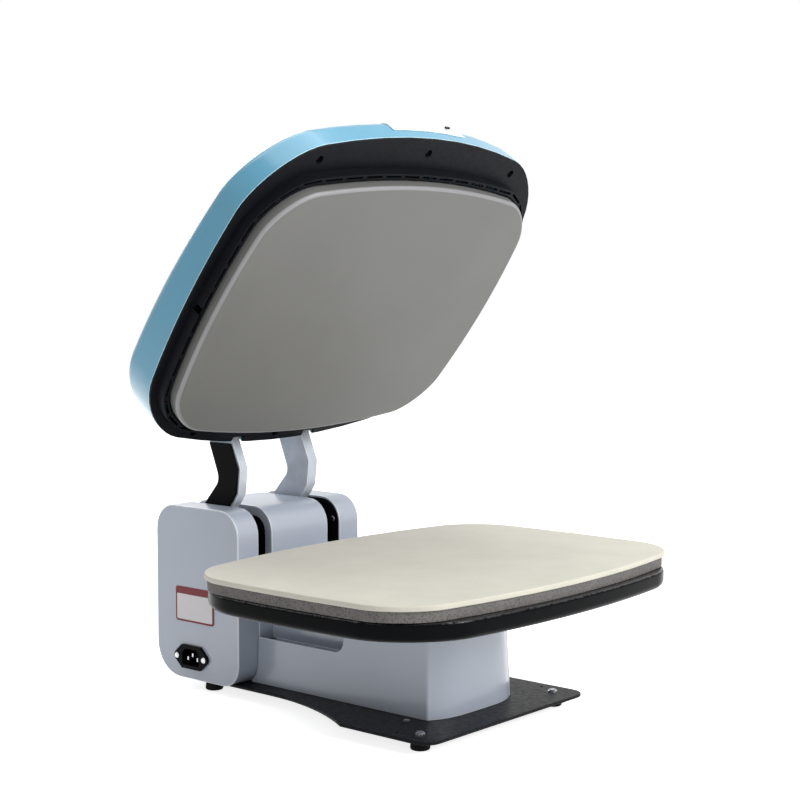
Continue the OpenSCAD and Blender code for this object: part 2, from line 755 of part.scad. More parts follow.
// Hinge shaft, from tower to tower
shaft_l = 2 * (side_x + hinge_plate_t + 8);
module hinge_shaft() {
    color(steel) press() difference() {
        along_x(-shaft_l / 2, shaft_l / 2) translate([hinge_y, hinge_z]) circle(r = hinge_r);
        both_sides() translate([shaft_l / 2 - 3, hinge_y, hinge_z]) rotate([0, 90, 0])
            difference() {
                cylinder(r = hinge_r + cut, h = 1.2);
                translate([0, 0, -cut]) cylinder(r = hinge_r - 1, h = 1.2 + 2 * cut);
            }
    }
}

// Arms: outline round the hinge in the open pose, then along the hood's frame
function hood_yz(v, h) =
    let (y = v - hinge_y, z = face_z + h - hinge_z)
    [y * cos(open_angle) + z * sin(open_angle), z * cos(open_angle) - y * sin(open_angle)];
arm_bar_low = 31.4;
arm_bar_top = 55.9;
arm_bar_end = 60;
arm_front = [[-54.5, 29.1], [-61.5, 39.7], [-64.3, 65.7], [-52.4, 94.1]];
arm_rear = [-17.7, 92.7];
arm_neck_r = 12;
function arm_neck() = [for (k = [0:5]) arc_point([-19.6, 55.2], arm_neck_r, 158 + 11 * k)];
eye_from = 100; // the eye's arc, from the arm's rear edge round to its front edge
eye_to = -132;
eye_steps = 29;
function eye_arc() = [for (k = [0:eye_steps])
    arc_point([0, 0], eye_r, eye_from + (eye_to - eye_from) * k / eye_steps)];
module arm_outline() {
    polygon(concat(arm_front,
        [hood_yz(170, arm_bar_low), hood_yz(arm_bar_end, arm_bar_low),
         hood_yz(arm_bar_end, arm_bar_top), hood_yz(174, arm_bar_top)],
        [arm_rear], arm_neck(), eye_arc()));
}
arm_bolt_at = [[74, 44], [110, 44], [146, 44]];
arm_bolt_r = 3;
module arm(x0, x1) {
    difference() {
        along_x(x0, x1) translate([hinge_y, hinge_z]) arm_outline();
        along_x(x0 - cut, x1 + cut) translate([hinge_y, hinge_z]) circle(r = hinge_r + hair);
        along_x(x0 - cut, x1 + cut) translate([hinge_y, hinge_z])
            for (p = arm_bolt_at) translate(hood_yz(p.x, p.y)) circle(r = arm_bolt_r + hair);
    }
}
module left_arm() {
    color(pale_grey) press() arm(-arm_x - arm_t + cable_cover_t, -arm_x);
}
module right_arm() {
    color(pale_grey) press() arm(arm_x, arm_x + arm_t);
}
cable_cover_front = 90;
cable_cover_rear = 20;
cable_cover_h = 91;
module arm_cable_cover() {
    color(black) press() intersection() {
        along_x(-arm_x - arm_t, -arm_x - arm_t + cable_cover_t)
            translate([hinge_y, hinge_z]) difference() {
                offset(delta = -cable_cover_edge) arm_outline();
                circle(r = eye_r + 1);
            }
        translate([-arm_x - arm_t - cut, hinge_y - cable_cover_front, hinge_z])
            cube([arm_t, cable_cover_front + cable_cover_rear, cable_cover_h]);
    }
}
module arm_bolts() {
    color(chrome) press() translate([0, hinge_y, hinge_z]) both_sides()
        for (p = arm_bolt_at) let (q = hood_yz(p.x, p.y))
            translate([arm_x, q.x, q.y]) rotate([0, -90, 0])
                pan_screw(5, 3, arm_bolt_r, 7);
}

// Frame inside the hood: a plate with an upright flange beside each arm
insulation_w = 340;
insulation_d = 228;
insulation_t = 4;
post_r = 5;
post_gap = 3; // clearance of the posts from the insulation board
post_v = insulation_d / 2 + post_r + post_gap;
frame_w = 300;
frame_front = post_v + 10;
frame_rear = 150;
frame_t = 3;
frame_h = arm_bar_low - fit - frame_t;
post_at = [[120, -post_v], [120, post_v]];
module head_frame() {
    color(steel) hood() difference() {
        union() {
            translate([-frame_w / 2, -frame_front, frame_h])
                cube([frame_w, frame_front + frame_rear, frame_t]);
            both_sides() translate([arm_x - frame_t, 66, frame_h + frame_t - half])
                cube([frame_t, frame_rear - 66, arm_bar_top - frame_h - frame_t - 2 + half]);
        }
        both_sides() for (p = arm_bolt_at)
            translate([arm_x - frame_t - cut, p.x, p.y]) rotate([0, 90, 0])
                cylinder(r = 5 + fit, h = frame_t + 2 * cut, $fn = 32);
        both_sides() for (p = post_at) translate([p.x, p.y, frame_h - cut])
            cylinder(r = bolt_r + hair, h = frame_t + 2 * cut, $fn = 24);
    }
}
module frame_posts() {
    color(chrome) hood() both_sides() for (p = post_at) translate([p.x, p.y, platen_t])
        rotate_extrude() polygon([[0, 0], [post_r, 0], [post_r, frame_h - platen_t],
            [bolt_r, frame_h - platen_t], [bolt_r, frame_h - platen_t + frame_t],
            [post_r, frame_h - platen_t + frame_t], [post_r, frame_h - platen_t + frame_t + 3],
            [0, frame_h - platen_t + frame_t + 3]]);
}

// Heated platen, with the groove that holds the element
element_r = 4;
element_pitch = 46;
element_hw = 130;
module element_path(r) {
    for (k = [-2:2]) translate([-element_hw, k * element_pitch, 0]) rotate([0, 90, 0])
        cylinder(r = r, h = 2 * element_hw, $fn = 24);
    for (k = [-2:1]) translate([(k % 2 == 0 ? 1 : -1) * element_hw,
        (k + half) * element_pitch, 0])
        rotate([0, 0, k % 2 == 0 ? -90 : 90]) rotate_extrude(angle = 180, $fn = 48)
            translate([element_pitch / 2, 0]) circle(r = r, $fn = 24);
}
platen_edge = 3;
module heat_platen() {
    color("#8c8c8c") hood() difference() {
        loft([[inset(platen_w, platen_d, platen_r, platen_bow, platen_edge), 0],
            [bowed(platen_w, platen_d, platen_r, platen_bow), platen_edge],
            [bowed(platen_w, platen_d, platen_r, platen_bow), platen_t]]);
        translate([0, 0, platen_t]) element_path(element_r + 0.1);
    }
}
module heating_element() {
    color("#6d5a50") hood() translate([0, 0, platen_t]) element_path(element_r);
}
module insulation_board() {
    color("#d8d2c4") hood()
        translate([-insulation_w / 2, -insulation_d / 2, platen_t + element_r + fit])
            cube([insulation_w, insulation_d, insulation_t]);
}
cutout_r = 8;
cutout_y = -insulation_d / 2 - 2 * cutout_r;
module cutout_switch() {
    color("#e3ddd0") hood() translate([0, cutout_y, platen_t]) {
        cylinder(r = cutout_r, h = 7);
        translate([-12, -3, 0]) cube([24, 6, 1.2]);
    }
}

// Skirt: vented band round the platen, a wall and a flange under the hood's rim
skirt_out = skirt_gap + vent_band;
flange_h = rim_h - skirt_t;
function around(g) = bowed(platen_w + 2 * g, platen_d + 2 * g, platen_r + g, platen_bow);
function hood_ring(i) = inset(hood_w, hood_d, hood_r, hood_bow, i);
skirt_screw_at = [[0, -177], [141, -161.5], [-141, -161.5], [-206.5, 0], [206.5, 0],
    [0, 170.5], [120, 160], [-120, 160]];
cup_r = 4.3;
cup_depth = 5;
cup_wall = 1.2;
screw_r = 1.6;
// Vents at an even pitch along a line in the middle of the band, right round the platen
vent_line = around(skirt_gap + vent_band / 2);
vent_w = 2.4;
points_n = len(vent_line);
function run(k) = k == 0 ? 0 : run(k - 1) + norm(vent_line[k % points_n] - vent_line[k - 1]);
run_x = [for (k = [0:points_n]) [run(k), vent_line[k % points_n].x]];
run_y = [for (k = [0:points_n]) [run(k), vent_line[k % points_n].y]];
function on_line(s) = [lookup(s, run_x), lookup(s, run_y)];
vent_n = floor(run(points_n) / (vent_l + vent_bar));
module vents() {
    pitch = run(points_n) / vent_n;
    for (k = [0:vent_n - 1]) {
        p = on_line((k + half) * pitch);
        q = on_line((k + half) * pitch + 1) - on_line((k + half) * pitch - 1);
        translate([p.x, p.y, skirt_h]) rotate([0, 0, atan2(q.y, q.x)])
            cube([vent_l, vent_w, 3 * skirt_t], center = true);
    }
}
arm_hole = 172; // where the flange is cut open for the arms
module skirt_flange_outline() {
    difference() {
        translate([0, -hood_shift]) polygon(hood_ring(fit));
        both_sides() translate([arm_x - 1, arm_hole]) square([arm_t + 2, 80]);
    }
}
module skirt_cups() {
    intersection() {
        for (p = skirt_screw_at) translate([p.x, p.y, flange_h])
            cylinder(r = cup_r + cup_wall, h = cup_depth + skirt_t, $fn = 32);
        translate([0, -hood_shift, flange_h - cut])
            linear_extrude(cup_depth + skirt_t + 2 * cut) polygon(hood_ring(wall + fit));
    }
}
module head_skirt() {
    color(black) hood() difference() {
        union() {
            difference() {
                union() {
                    translate([0, 0, skirt_h]) linear_extrude(rim_h - skirt_h)
                        polygon(around(skirt_out));
                    translate([0, 0, flange_h]) linear_extrude(skirt_t) skirt_flange_outline();
                }
                translate([0, 0, skirt_h - cut]) linear_extrude(40) polygon(around(skirt_gap));
                translate([0, 0, skirt_h + skirt_t]) linear_extrude(40)
                    polygon(around(skirt_out - skirt_t));
            }
            skirt_cups();
        }
        for (p = skirt_screw_at) translate([p.x, p.y, rim_h - cut])
            cylinder(r = screw_r + hair, h = 10, $fn = 24);
        for (p = skirt_screw_at) translate([p.x, p.y, skirt_h - cut])
            cylinder(r = cup_r, h = flange_h + cup_depth - skirt_h + cut, $fn = 32);
        vents();
    }
}
module skirt_screws() {
    color(black) hood() for (p = skirt_screw_at) translate([p.x, p.y, flange_h + cup_depth])
        mirror([0, 0, 1]) pan_screw(3.4, 1.8, screw_r, 8);
}

// Hood: an upright wall, a rounded edge and a crowned top that rises to the back
hood_draft = 0.4;
hood_top = (hood_front_h + hood_rear_h) / 2;
hood_slope = (hood_rear_h - hood_front_h) / hood_d;
// Rise of the crowned top, by the distance in from the hood's edge
crown_rise = [[hood_round + hood_draft, 0], [hood_round + hood_draft + 8, 0.9],
    [60, crown * 0.7], [120, crown]];
function hood_rings(i, z0) =
    let (r = hood_round)
    concat(
        [[hood_ring(i), z0], [hood_ring(i), rim_h + 2],
         [hood_ring(i + hood_draft), hood_top - r, hood_slope]],
        [for (k = [1:5]) [hood_ring(i + hood_draft + (r - i) * (1 - cos(15 * k))),
            hood_top - r + (r - i) * sin(15 * k), hood_slope]],
        [for (k = [1:3]) [hood_ring(crown_rise[k][0]),
            hood_top - i + crown_rise[k][1], hood_slope]]);
// Height of the hood's top above the heated face, on the middle line
function roof(v) = hood_top + hood_slope * (v + hood_shift)
    + lookup(hood_d / 2 - abs(v + hood_shift), crown_rise);
function roof_tilt(v) = atan((roof(v + 3) - roof(v - 3)) / 6);
module head_shell() {
    color(sky) hood() difference() {
        translate([0, -hood_shift, 0]) difference() {
            loft(hood_rings(0, rim_h));
            loft(hood_rings(wall, rim_h - cut));
        }
        both_sides() translate([arm_x - 1, 140, rim_h - cut])
            cube([arm_t + 2, 80, arm_bar_top + 2 - rim_h + cut]);
    }
}

// Control panel: a white cap that wraps from the hood's top over its front wall
panel_front_v = -hood_d / 2 - hood_shift;
panel_r = 8;
module panel_block(grow) {
    translate([panel_x - panel_w / 2 + grow, panel_front_v - 6,
        rim_h + panel_low + grow])
        cube([panel_w - 2 * grow, panel_d - 2 * grow, 60]);
}
module control_panel() {
    color("#eef0f2") hood() intersection() {
        translate([0, -hood_shift, 0]) difference() {
            loft(hood_rings(-panel_t - 0.02, rim_h));
            loft(hood_rings(-0.02, rim_h - cut));
        }
        panel_block(0);
    }
}
board_y = panel_front_v + 52;
board_w = 84;
board_d = 48;
board_post = [board_w / 2 - 6, board_d / 2 - 6];
board_post_r = 2;
board_h = roof(board_y - board_d / 2) - wall - 9;
module control_board() {
    color("#2f6b46") hood() {
        translate([panel_x - board_w / 2, board_y - board_d / 2, board_h])
            cube([board_w, board_d, board_t]);
        for (x = [-1, 1]) for (y = [-1, 1])
            let (v = board_y + y * board_post.y)
            translate([panel_x + x * board_post.x, v, board_h])
                cylinder(r = board_post_r, h = roof(v - 2 * board_post_r) - wall - board_h);
    }
}
// Puts what follows flat on the panel's top
module on_panel(x, v) {
    translate([x, v, roof(v) + panel_t + 2 * hair]) rotate([roof_tilt(v), 0, 0]) children();
}
window_v = board_y - 6;
keys_v = board_y + 18;
module display_window() {
    color("#101418") hood() on_panel(panel_x, window_v)
        translate([-26, -12, 0]) cube([52, 24, 1]);
}
module panel_keys() {
    color("#d4d8dc") hood() for (k = [-1:1])
        on_panel(panel_x + 18 * k, keys_v) cylinder(r = 5, h = 1);
}

base_plate();
front_feet();
rear_feet();
foot_screws();
pedestal_shell();
neck_cover();
platen_post();
platen_bolts();
left_tower_cover();
centre_tower_cover();
right_tower_cover();
outer_hinge_plates();
inner_hinge_plates();
hinge_bushes();
plate_screws();
gear_motor();
drive_pinion();
sector_gear();
power_board();
power_inlet();
inlet_pins();
inlet_screws();
rating_plate();
lower_tray();
lower_plate();
foam_pad();
felt_pad();
hinge_shaft();
left_arm();
right_arm();
arm_cable_cover();
arm_bolts();
head_frame();
frame_posts();
heat_platen();
heating_element();
insulation_board();
cutout_switch();
head_skirt();
skirt_screws();
head_shell();
control_board();
control_panel();
display_window();
panel_keys();
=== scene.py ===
"""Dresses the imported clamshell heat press: mouldings, pads, platen and finishes."""
import json
import math

import bmesh
import bpy
from mathutils import Matrix, Vector


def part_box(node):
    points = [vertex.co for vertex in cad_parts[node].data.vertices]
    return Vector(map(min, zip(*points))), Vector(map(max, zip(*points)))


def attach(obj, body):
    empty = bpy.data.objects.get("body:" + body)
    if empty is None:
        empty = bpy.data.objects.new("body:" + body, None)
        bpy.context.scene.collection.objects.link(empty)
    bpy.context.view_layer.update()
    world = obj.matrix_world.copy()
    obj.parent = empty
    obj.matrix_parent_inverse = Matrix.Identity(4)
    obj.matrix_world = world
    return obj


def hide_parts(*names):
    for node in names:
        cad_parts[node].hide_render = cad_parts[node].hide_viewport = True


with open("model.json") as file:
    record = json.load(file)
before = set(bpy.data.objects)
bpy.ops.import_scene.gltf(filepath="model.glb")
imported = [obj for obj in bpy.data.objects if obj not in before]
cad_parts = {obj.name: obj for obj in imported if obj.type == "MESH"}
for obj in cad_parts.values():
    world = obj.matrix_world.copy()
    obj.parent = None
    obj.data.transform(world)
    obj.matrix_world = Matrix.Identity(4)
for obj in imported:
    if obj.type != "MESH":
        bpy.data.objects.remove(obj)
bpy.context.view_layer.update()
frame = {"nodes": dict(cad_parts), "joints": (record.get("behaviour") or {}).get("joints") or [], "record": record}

bl_info = {
    "name": "Clamshell Heat Press",
    "version": (1, 0, 0),
    "blender": (4, 5, 0),
    "location": "View3D > Sidebar > Heat Press",
    "description": "Models the mouldings, pads and finishes of a clamshell heat press",
    "category": "Object",
}

MM = 0.001
JOINTS = {joint["name"]: joint for joint in frame["joints"]}
HINGE = Vector(JOINTS["head_lift"]["pos_m"])
OPEN_ANGLE = math.radians(JOINTS["head_lift"]["range_deg"][1])
FELT_LOW, FELT_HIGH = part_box("felt_pad")
FOAM_LOW, FOAM_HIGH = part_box("foam_pad")
TRAY_LOW, TRAY_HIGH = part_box("lower_tray")
PLATEN_Y = (FELT_LOW.y + FELT_HIGH.y) / 2
SHUT_GAP = 0.3 * MM
FACE_Z = FELT_HIGH.z + SHUT_GAP
# Two places nearer than this are the same place.
SAME = 0.001 * MM
# How far a cutter runs past what it cuts.
OVERRUN = 10 * MM


def length(name, description, millimetres):
    """A size's property, given in millimetres and held in metres."""
    return bpy.props.FloatProperty(name=name, description=description,
                                   default=millimetres * MM, unit="LENGTH")


class PressSizes(bpy.types.PropertyGroup):
    """Sizes that are not read from the frame; a bow is how far a side's middle stands out."""

    pad_corner: length("Pad corner", "Corner radius of the pads", 46)
    pad_side_bow: length("Pad side bow", "Bow of the pads' left and right", 6)
    pad_end_bow: length("Pad end bow", "Bow of the pads' front and rear", 26)
    tray_corner: length("Tray corner", "Corner radius of the tray", 66)
    tray_side_bow: length("Tray side bow", "Bow of the tray's left and right", 9)
    tray_end_bow: length("Tray end bow", "Bow of the tray's front and rear", 22)
    tray_round: length("Tray round", "Radius of the tray's lower edge", 7)
    platen_corner: length("Platen corner", "Corner radius of the heated platen", 42)
    platen_side_bow: length("Platen side bow", "Bow of the platen's left and right", 15)
    platen_end_bow: length("Platen end bow", "Bow of the platen's front and rear", 21)
    platen_depth: length("Platen depth", "Depth of the heated platen", 304)
    platen_thickness: length("Platen thickness", "Thickness of the heated platen", 12)
    # The rounding round the heated face carries the platen's painted highlight.
    platen_edge: length("Platen edge", "Width of the rounding round the heated face", 3)
    hood_depth: length("Hood depth", "Depth of the hood at its rim", 374)
    hood_corner: length("Hood corner", "Corner radius of the hood", 60)
    hood_side_bow: length("Hood side bow", "Bow of the hood's left and right", 16)
    hood_end_bow: length("Hood end bow", "Bow of the hood's front and rear", 33)
    hood_shift: length("Hood shift", "How far the hood lies in front of the platen", 6)
    rim_height: length("Rim height", "Height of the hood's rim above the heated face", 23)
    hood_front_height: length("Hood front", "Height of the top's front edge", 53.5)
    hood_rear_height: length("Hood rear", "Height of the top's rear edge", 69)
    hood_edge: length("Hood edge", "Radius of the hood's top edge", 11)
    hood_wall: length("Hood wall", "Wall thickness of the hood", 2.5)
    panel_width: length("Panel width", "Width of the control panel", 107)
    panel_depth: length("Panel depth", "Depth of the control panel, front to back", 92)
    panel_offset: length("Panel offset", "How far the panel's centre lies to the right", 6.5)
    panel_low: length("Panel low", "Height of the panel's lower edge above the rim", 12)


class PressColours(bpy.types.PropertyGroup):
    """Colours of the finishes, as sRGB hex values."""

    hood: bpy.props.StringProperty(name="Hood", description="Moulded hood", default="5AA2C0")
    covers: bpy.props.StringProperty(
        name="Covers", description="Tower and pedestal covers", default="B6BECC")
    platen: bpy.props.StringProperty(
        name="Heated platen", description="Coated aluminium face", default="757573")
    felt: bpy.props.StringProperty(name="Felt", description="Felt pad", default="D8D4C6")
    foam: bpy.props.StringProperty(name="Foam", description="Sponge pad", default="6B6967")
    label_border: bpy.props.StringProperty(
        name="Label border", description="Border of the bare rating plate", default="7A0F1B")


def linear(code):
    """Turns an sRGB hex code into linear RGBA."""
    channels = [int(code[i:i + 2], 16) / 255 for i in (0, 2, 4)]
    return [c / 12.92 if c <= 0.04045 else ((c + 0.055) / 1.055) ** 2.4
            for c in channels] + [1.0]


def fill(tree, node, **sockets):
    """Gives sockets a value or another node's output; i6 is the socket at index 6."""
    for name, value in sockets.items():
        by_index = name[0] == "i" and name[1:].isdigit()
        socket = node.inputs[int(name[1:]) if by_index else name.replace("_", " ")]
        if isinstance(value, bpy.types.NodeSocket):
            tree.links.new(value, socket)
        else:
            socket.default_value = value


def add_node(tree, kind, settings=None, **sockets):
    """Adds a node, with its settings and what its sockets take."""
    node = tree.nodes.new(kind)
    for name, value in (settings or {}).items():
        setattr(node, name, value)
    fill(tree, node, **sockets)
    return node


def new_material(name):
    """Makes an empty material; gives it, its tree, its surface shader and its coordinates."""
    material = bpy.data.materials.new(name)
    material.use_nodes = True
    tree = material.node_tree
    shader = tree.nodes["Principled BSDF"]
    place = add_node(tree, "ShaderNodeTexCoord").outputs["Object"]
    return material, tree, shader, place


def grain(tree, place, size, detail=2.0):
    """Noise whose features are about size metres across."""
    return add_node(tree, "ShaderNodeTexNoise", Vector=place, Scale=1 / size,
                    Detail=detail).outputs["Fac"]


def ramp(tree, factor, stops):
    """A colour ramp from (position, hex or grey value) stops."""
    node = add_node(tree, "ShaderNodeValToRGB", Fac=factor)
    elements = node.color_ramp.elements
    for element, (position, colour) in zip(elements, stops):
        element.position = position
        element.color = linear(colour) if isinstance(colour, str) else [colour] * 3 + [1.0]
    return node.outputs["Color"]


def shade(code, factor):
    """The hex code of a colour made lighter or darker by a factor."""
    channels = [int(code[i:i + 2], 16) for i in (0, 2, 4)]
    return "".join(f"{max(0, min(255, round(c * factor))):02X}" for c in channels)


def tones(tree, factor, code, low, high, start=0.3, end=0.7):
    """Shades of one colour, from low to high times its own, as the factor rises."""
    return ramp(tree, factor, [(start, shade(code, low)), (end, shade(code, high))])


def multiply(tree, factor, base, layer):
    """Darkens a base colour by a grey layer."""
    return add_node(tree, "ShaderNodeMix", {"data_type": "RGBA", "blend_type": "MULTIPLY"},
                    Factor=factor, i6=base, i7=layer).outputs[2]


def bump(tree, shader, height, distance, strength):
    """Raises the surface by height times distance metres."""
    raised = add_node(tree, "ShaderNodeBump", Height=height, Distance=distance, Strength=strength)
    fill(tree, shader, Normal=raised.outputs["Normal"])


def gloss_abs(name, code):
    """Gloss ABS, injection moulded: even colour and a clear polished skin."""
    material, tree, shader, place = new_material(name)
    flow = grain(tree, place, 90 * MM)
    # Handling haze: the gloss is a little duller in soft patches.
    haze = grain(tree, place, 30 * MM, 3.0)
    fill(tree, shader, Base_Color=tones(tree, flow, code, 0.99, 1.01),
         Roughness=ramp(tree, haze, [(0.3, 0.2), (0.75, 0.25)]), IOR=1.5,
         Coat_Weight=0.2, Coat_Roughness=0.1)
    # Orange-peel of the mould's polished face, drawn at 2 mm so that it shows.
    bump(tree, shader, grain(tree, place, 2 * MM, 1.0), 0.006 * MM, 0.3)
    return material


def enamel(name, code):
    """Stove enamel on steel: deep black gloss with the soft ripple of a sprayed coat."""
    material, tree, shader, place = new_material(name)
    tone = grain(tree, place, 30 * MM)
    ripple = grain(tree, place, 2.6 * MM, 1.5)
    # The gloss shows as glints along the upper edge, over a near-black wall.
    facing = add_node(tree, "ShaderNodeTexCoord").outputs["Normal"]
    upward = add_node(tree, "ShaderNodeSeparateXYZ", Vector=facing).outputs["Z"]
    glint = add_node(tree, "ShaderNodeMath", {"operation": "MULTIPLY"}, i0=upward, i1=ripple)
    fill(tree, shader, Base_Color=tones(tree, tone, code, 0.9, 1.1), Roughness=0.2, IOR=1.5,
         Specular_IOR_Level=ramp(tree, glint.outputs[0], [(0.22, 0.03), (0.42, 0.6)]))
    bump(tree, shader, ripple, 0.12 * MM, 0.7)
    return material


def powder_coat(name, code, roughness, grit=0.9, gloss=0.06):
    """Powder coat on steel: satin, with the fine leathery grain of fused powder."""
    material, tree, shader, place = new_material(name)
    tone = grain(tree, place, 22 * MM, 3.0)
    wear = grain(tree, place, 5 * MM, 3.0)
    fill(tree, shader, Base_Color=tones(tree, tone, code, 0.94, 1.06), IOR=1.5,
         Roughness=ramp(tree, wear, [(0.3, roughness - 0.06), (0.75, roughness + 0.08)]),
         Specular_IOR_Level=gloss)
    bump(tree, shader, grain(tree, place, grit * MM), 0.05 * MM, 0.6)
    return material


def coated_aluminium(name, code):
    """Cast aluminium with a non-stick coat: satin mid grey with an even fine speckle."""
    material, tree, shader, place = new_material(name)
    cloud = tones(tree, grain(tree, place, 120 * MM), code, 0.985, 1.015, 0.32, 0.68)
    # Speckle of the fired coat, about 0.5 mm, drawn at 1.1 mm so that it shows.
    speck = ramp(tree, grain(tree, place, 1.1 * MM), [(0.35, 0.93), (0.7, 1.0)])
    fill(tree, shader, Base_Color=multiply(tree, 0.8, cloud, speck), Metallic=0.25,
         Roughness=0.55, Specular_IOR_Level=0.35)
    bump(tree, shader, grain(tree, place, 0.9 * MM), 0.02 * MM, 0.4)
    return material


def bare_metal(name, code, roughness, brush=None):
    """Steel, zinc plate or bronze, turned or rolled; brush stretches the scratches along X."""
    material, tree, shader, place = new_material(name)
    if brush:
        place = add_node(tree, "ShaderNodeMapping", Vector=place, Scale=brush).outputs["Vector"]
    scratch = grain(tree, place, 1.2 * MM, 3.0)
    fill(tree, shader, Base_Color=tones(tree, scratch, code, 0.88, 1.06), Metallic=1.0,
         Roughness=ramp(tree, scratch, [(0.3, roughness - 0.06), (0.7, roughness + 0.1)]))
    bump(tree, shader, scratch, 0.02 * MM, 0.4)
    return material


def needled_felt(name, code):
    """Needled felt: matt matted fibres, a soft nap, and a few darker flecks."""
    material, tree, shader, place = new_material(name)
    patch = tones(tree, grain(tree, place, 45 * MM, 4.0), code, 0.975, 1.015)
    # Fibre clumps of about 2.4 mm, warped so that they lie in every direction.
    fibre = add_node(tree, "ShaderNodeTexNoise", Vector=place, Scale=1 / (2.4 * MM),
                     Detail=6.0, Roughness=0.7, Distortion=1.6).outputs["Fac"]
    nap = ramp(tree, fibre, [(0.3, 0.90), (0.65, 1.0)])
    fleck = ramp(tree, grain(tree, place, 7 * MM), [(0.735, 0.0), (0.775, 0.35)])
    spotted = add_node(tree, "ShaderNodeMix", {"data_type": "RGBA"}, Factor=fleck,
                       i6=multiply(tree, 0.75, patch, nap), i7=linear("A79A7F"))
    fill(tree, shader, Base_Color=spotted.outputs[2], Roughness=0.95, IOR=1.45,
         Sheen_Weight=0.25, Sheen_Roughness=0.6)
    bump(tree, shader, fibre, 0.35 * MM, 0.6)
    return material


def silicone_sponge(name, code):
    """Silicone sponge sheet: cut open cells, pores darkened with painted shade, and a rubbery skin."""
    material, tree, shader, place = new_material(name)
    cells = add_node(tree, "ShaderNodeTexVoronoi", {"feature": "F1"}, Vector=place,
                     Scale=1 / (2.2 * MM)).outputs["Distance"]
    # Painted shade: the middles of the cells, the pores, are drawn darker.
    pore_shade = tones(tree, cells, code, 0.7, 1.08, 0.08, 0.5)
    tone = ramp(tree, grain(tree, place, 14 * MM, 3.0), [(0.3, 0.86), (0.7, 1.0)])
    fill(tree, shader, Base_Color=multiply(tree, 1.0, pore_shade, tone), Roughness=0.82, IOR=1.41)
    bump(tree, shader, cells, 0.4 * MM, 0.7)
    return material


def moulded_rubber(name, code):
    """Moulded rubber: matt black with a dusty bloom."""
    material, tree, shader, place = new_material(name)
    bloom = grain(tree, place, 6 * MM, 4.0)
    fill(tree, shader, Base_Color=tones(tree, bloom, code, 1.0, 1.25, 0.35, 0.8),
         Roughness=ramp(tree, bloom, [(0.3, 0.62), (0.7, 0.8)]), IOR=1.52,
         Specular_IOR_Level=0.08)
    bump(tree, shader, grain(tree, place, 0.8 * MM), 0.05 * MM, 0.6)
    return material


def moulded_plastic(name, code, roughness, gloss=0.3):
    """Satin moulded plastic with a fine eroded texture."""
    material, tree, shader, place = new_material(name)
    tone = grain(tree, place, 12 * MM)
    fill(tree, shader, Base_Color=tones(tree, tone, code, 0.94, 1.05), Roughness=roughness,
         IOR=1.5, Specular_IOR_Level=gloss)
    bump(tree, shader, grain(tree, place, 0.7 * MM), 0.03 * MM, 0.5)
    return material


def printed_film(name, code):
    """Printed polyester film: even and faintly satin, as it comes from the press."""
    material, tree, shader, place = new_material(name)
    tone = grain(tree, place, 8 * MM, 1.0)
    fill(tree, shader, Base_Color=tones(tree, tone, code, 0.99, 1.0), Roughness=0.35)
    return material


def circuit_board(name):
    """Glass-fibre board under green solder mask, with a faint weave."""
    material, tree, shader, place = new_material(name)
    weave = grain(tree, place, 1.5 * MM, 1.0)
    fill(tree, shader, Base_Color=ramp(tree, weave, [(0.35, "1E5A37"), (0.65, "2F7549")]),
         Roughness=0.35)
    return material


MATERIALS = {}
# Painted highlight of the eased edges: a lighter copy of each finish stands in for the lamps' gloss on them.
EDGE_HIGHLIGHTS = {"grey_cover": "grey_cover_highlight_edge", "sky_blue": "sky_blue_edge",
                 "arm_paint": "arm_paint_highlight_edge", "heated_aluminium": "platen_edge"}


def make_materials(colours):
    """Makes each finish once, under its slot's name; edges and the label's face have their own."""
    MATERIALS.update({
        "sky_blue": gloss_abs("gloss_abs_sky_blue", colours.hood),
        "grey_cover": gloss_abs("gloss_abs_pale_grey", colours.covers),
        "white_panel": gloss_abs("gloss_abs_white", "EEF0F3"),
        "powder_black": powder_coat("powder_coat_black", "131417", 0.36, 0.9, 0.08),
        "skirt_black": powder_coat("powder_coat_deep_black", "15161A", 0.5, 1.4, 0.06),
        "dark_screw": bare_metal("blackened_steel", "2A2B2E", 0.45),
        "gloss_black": enamel("stove_enamel_black", "0B0C0E"),
        "arm_paint": powder_coat("powder_coat_light_grey", "C4CAD4", 0.36, 1.2, 0.5),
        "heated_aluminium": coated_aluminium("coated_cast_aluminium", colours.platen),
        "felt": needled_felt("needled_felt", colours.felt),
        "silicone_foam": silicone_sponge("silicone_sponge", colours.foam),
        "rubber": moulded_rubber("moulded_rubber", "1B1B1C"),
        "black_plastic": moulded_plastic("moulded_black_plastic", "0A0A0C", 0.38, 0.04),
        "zinc_screw": bare_metal("zinc_plated_steel", "C9CCD0", 0.22),
        "steel": bare_metal("rolled_steel", "8D9095", 0.38, (1.0, 12.0, 12.0)),
        "gear_steel": bare_metal("machined_steel", "9A9DA2", 0.28),
        "bronze": bare_metal("sintered_bronze", "A8843C", 0.42),
        "motor_metal": powder_coat("cast_and_painted_metal", "5C6066", 0.45),
        "board_green": circuit_board("circuit_board"),
        "rating_plate": moulded_plastic("printed_border", colours.label_border, 0.3),
        "element_sheath": bare_metal("heat_tinted_sheath", "6D5A50", 0.4),
        "insulation": moulded_rubber("ceramic_fibre_board", "CFC8B8"),
        "ceramic": moulded_plastic("glazed_ceramic", "E3DDD0", 0.2),
        "display": moulded_plastic("dark_display_window", "0E1216", 0.12),
        "key_grey": moulded_plastic("membrane_key", "C9CED4", 0.5),
        # Painted highlights: lighter copies of the finishes, for the eased edges and the platen's rounding.
        "grey_cover_highlight_edge": gloss_abs("gloss_abs_pale_grey_edge", "E4E8F0"),
        "sky_blue_edge": gloss_abs("gloss_abs_sky_blue_edge", "B4DCEA"),
        "arm_paint_highlight_edge": powder_coat("powder_coat_light_grey_edge", "DDE1E8", 0.36, 1.2, 0.5),
        "platen_edge": coated_aluminium("machined_aluminium_edge", "929294"),
        "label_face": printed_film("printed_label_face", "E2DFE1"),
    })


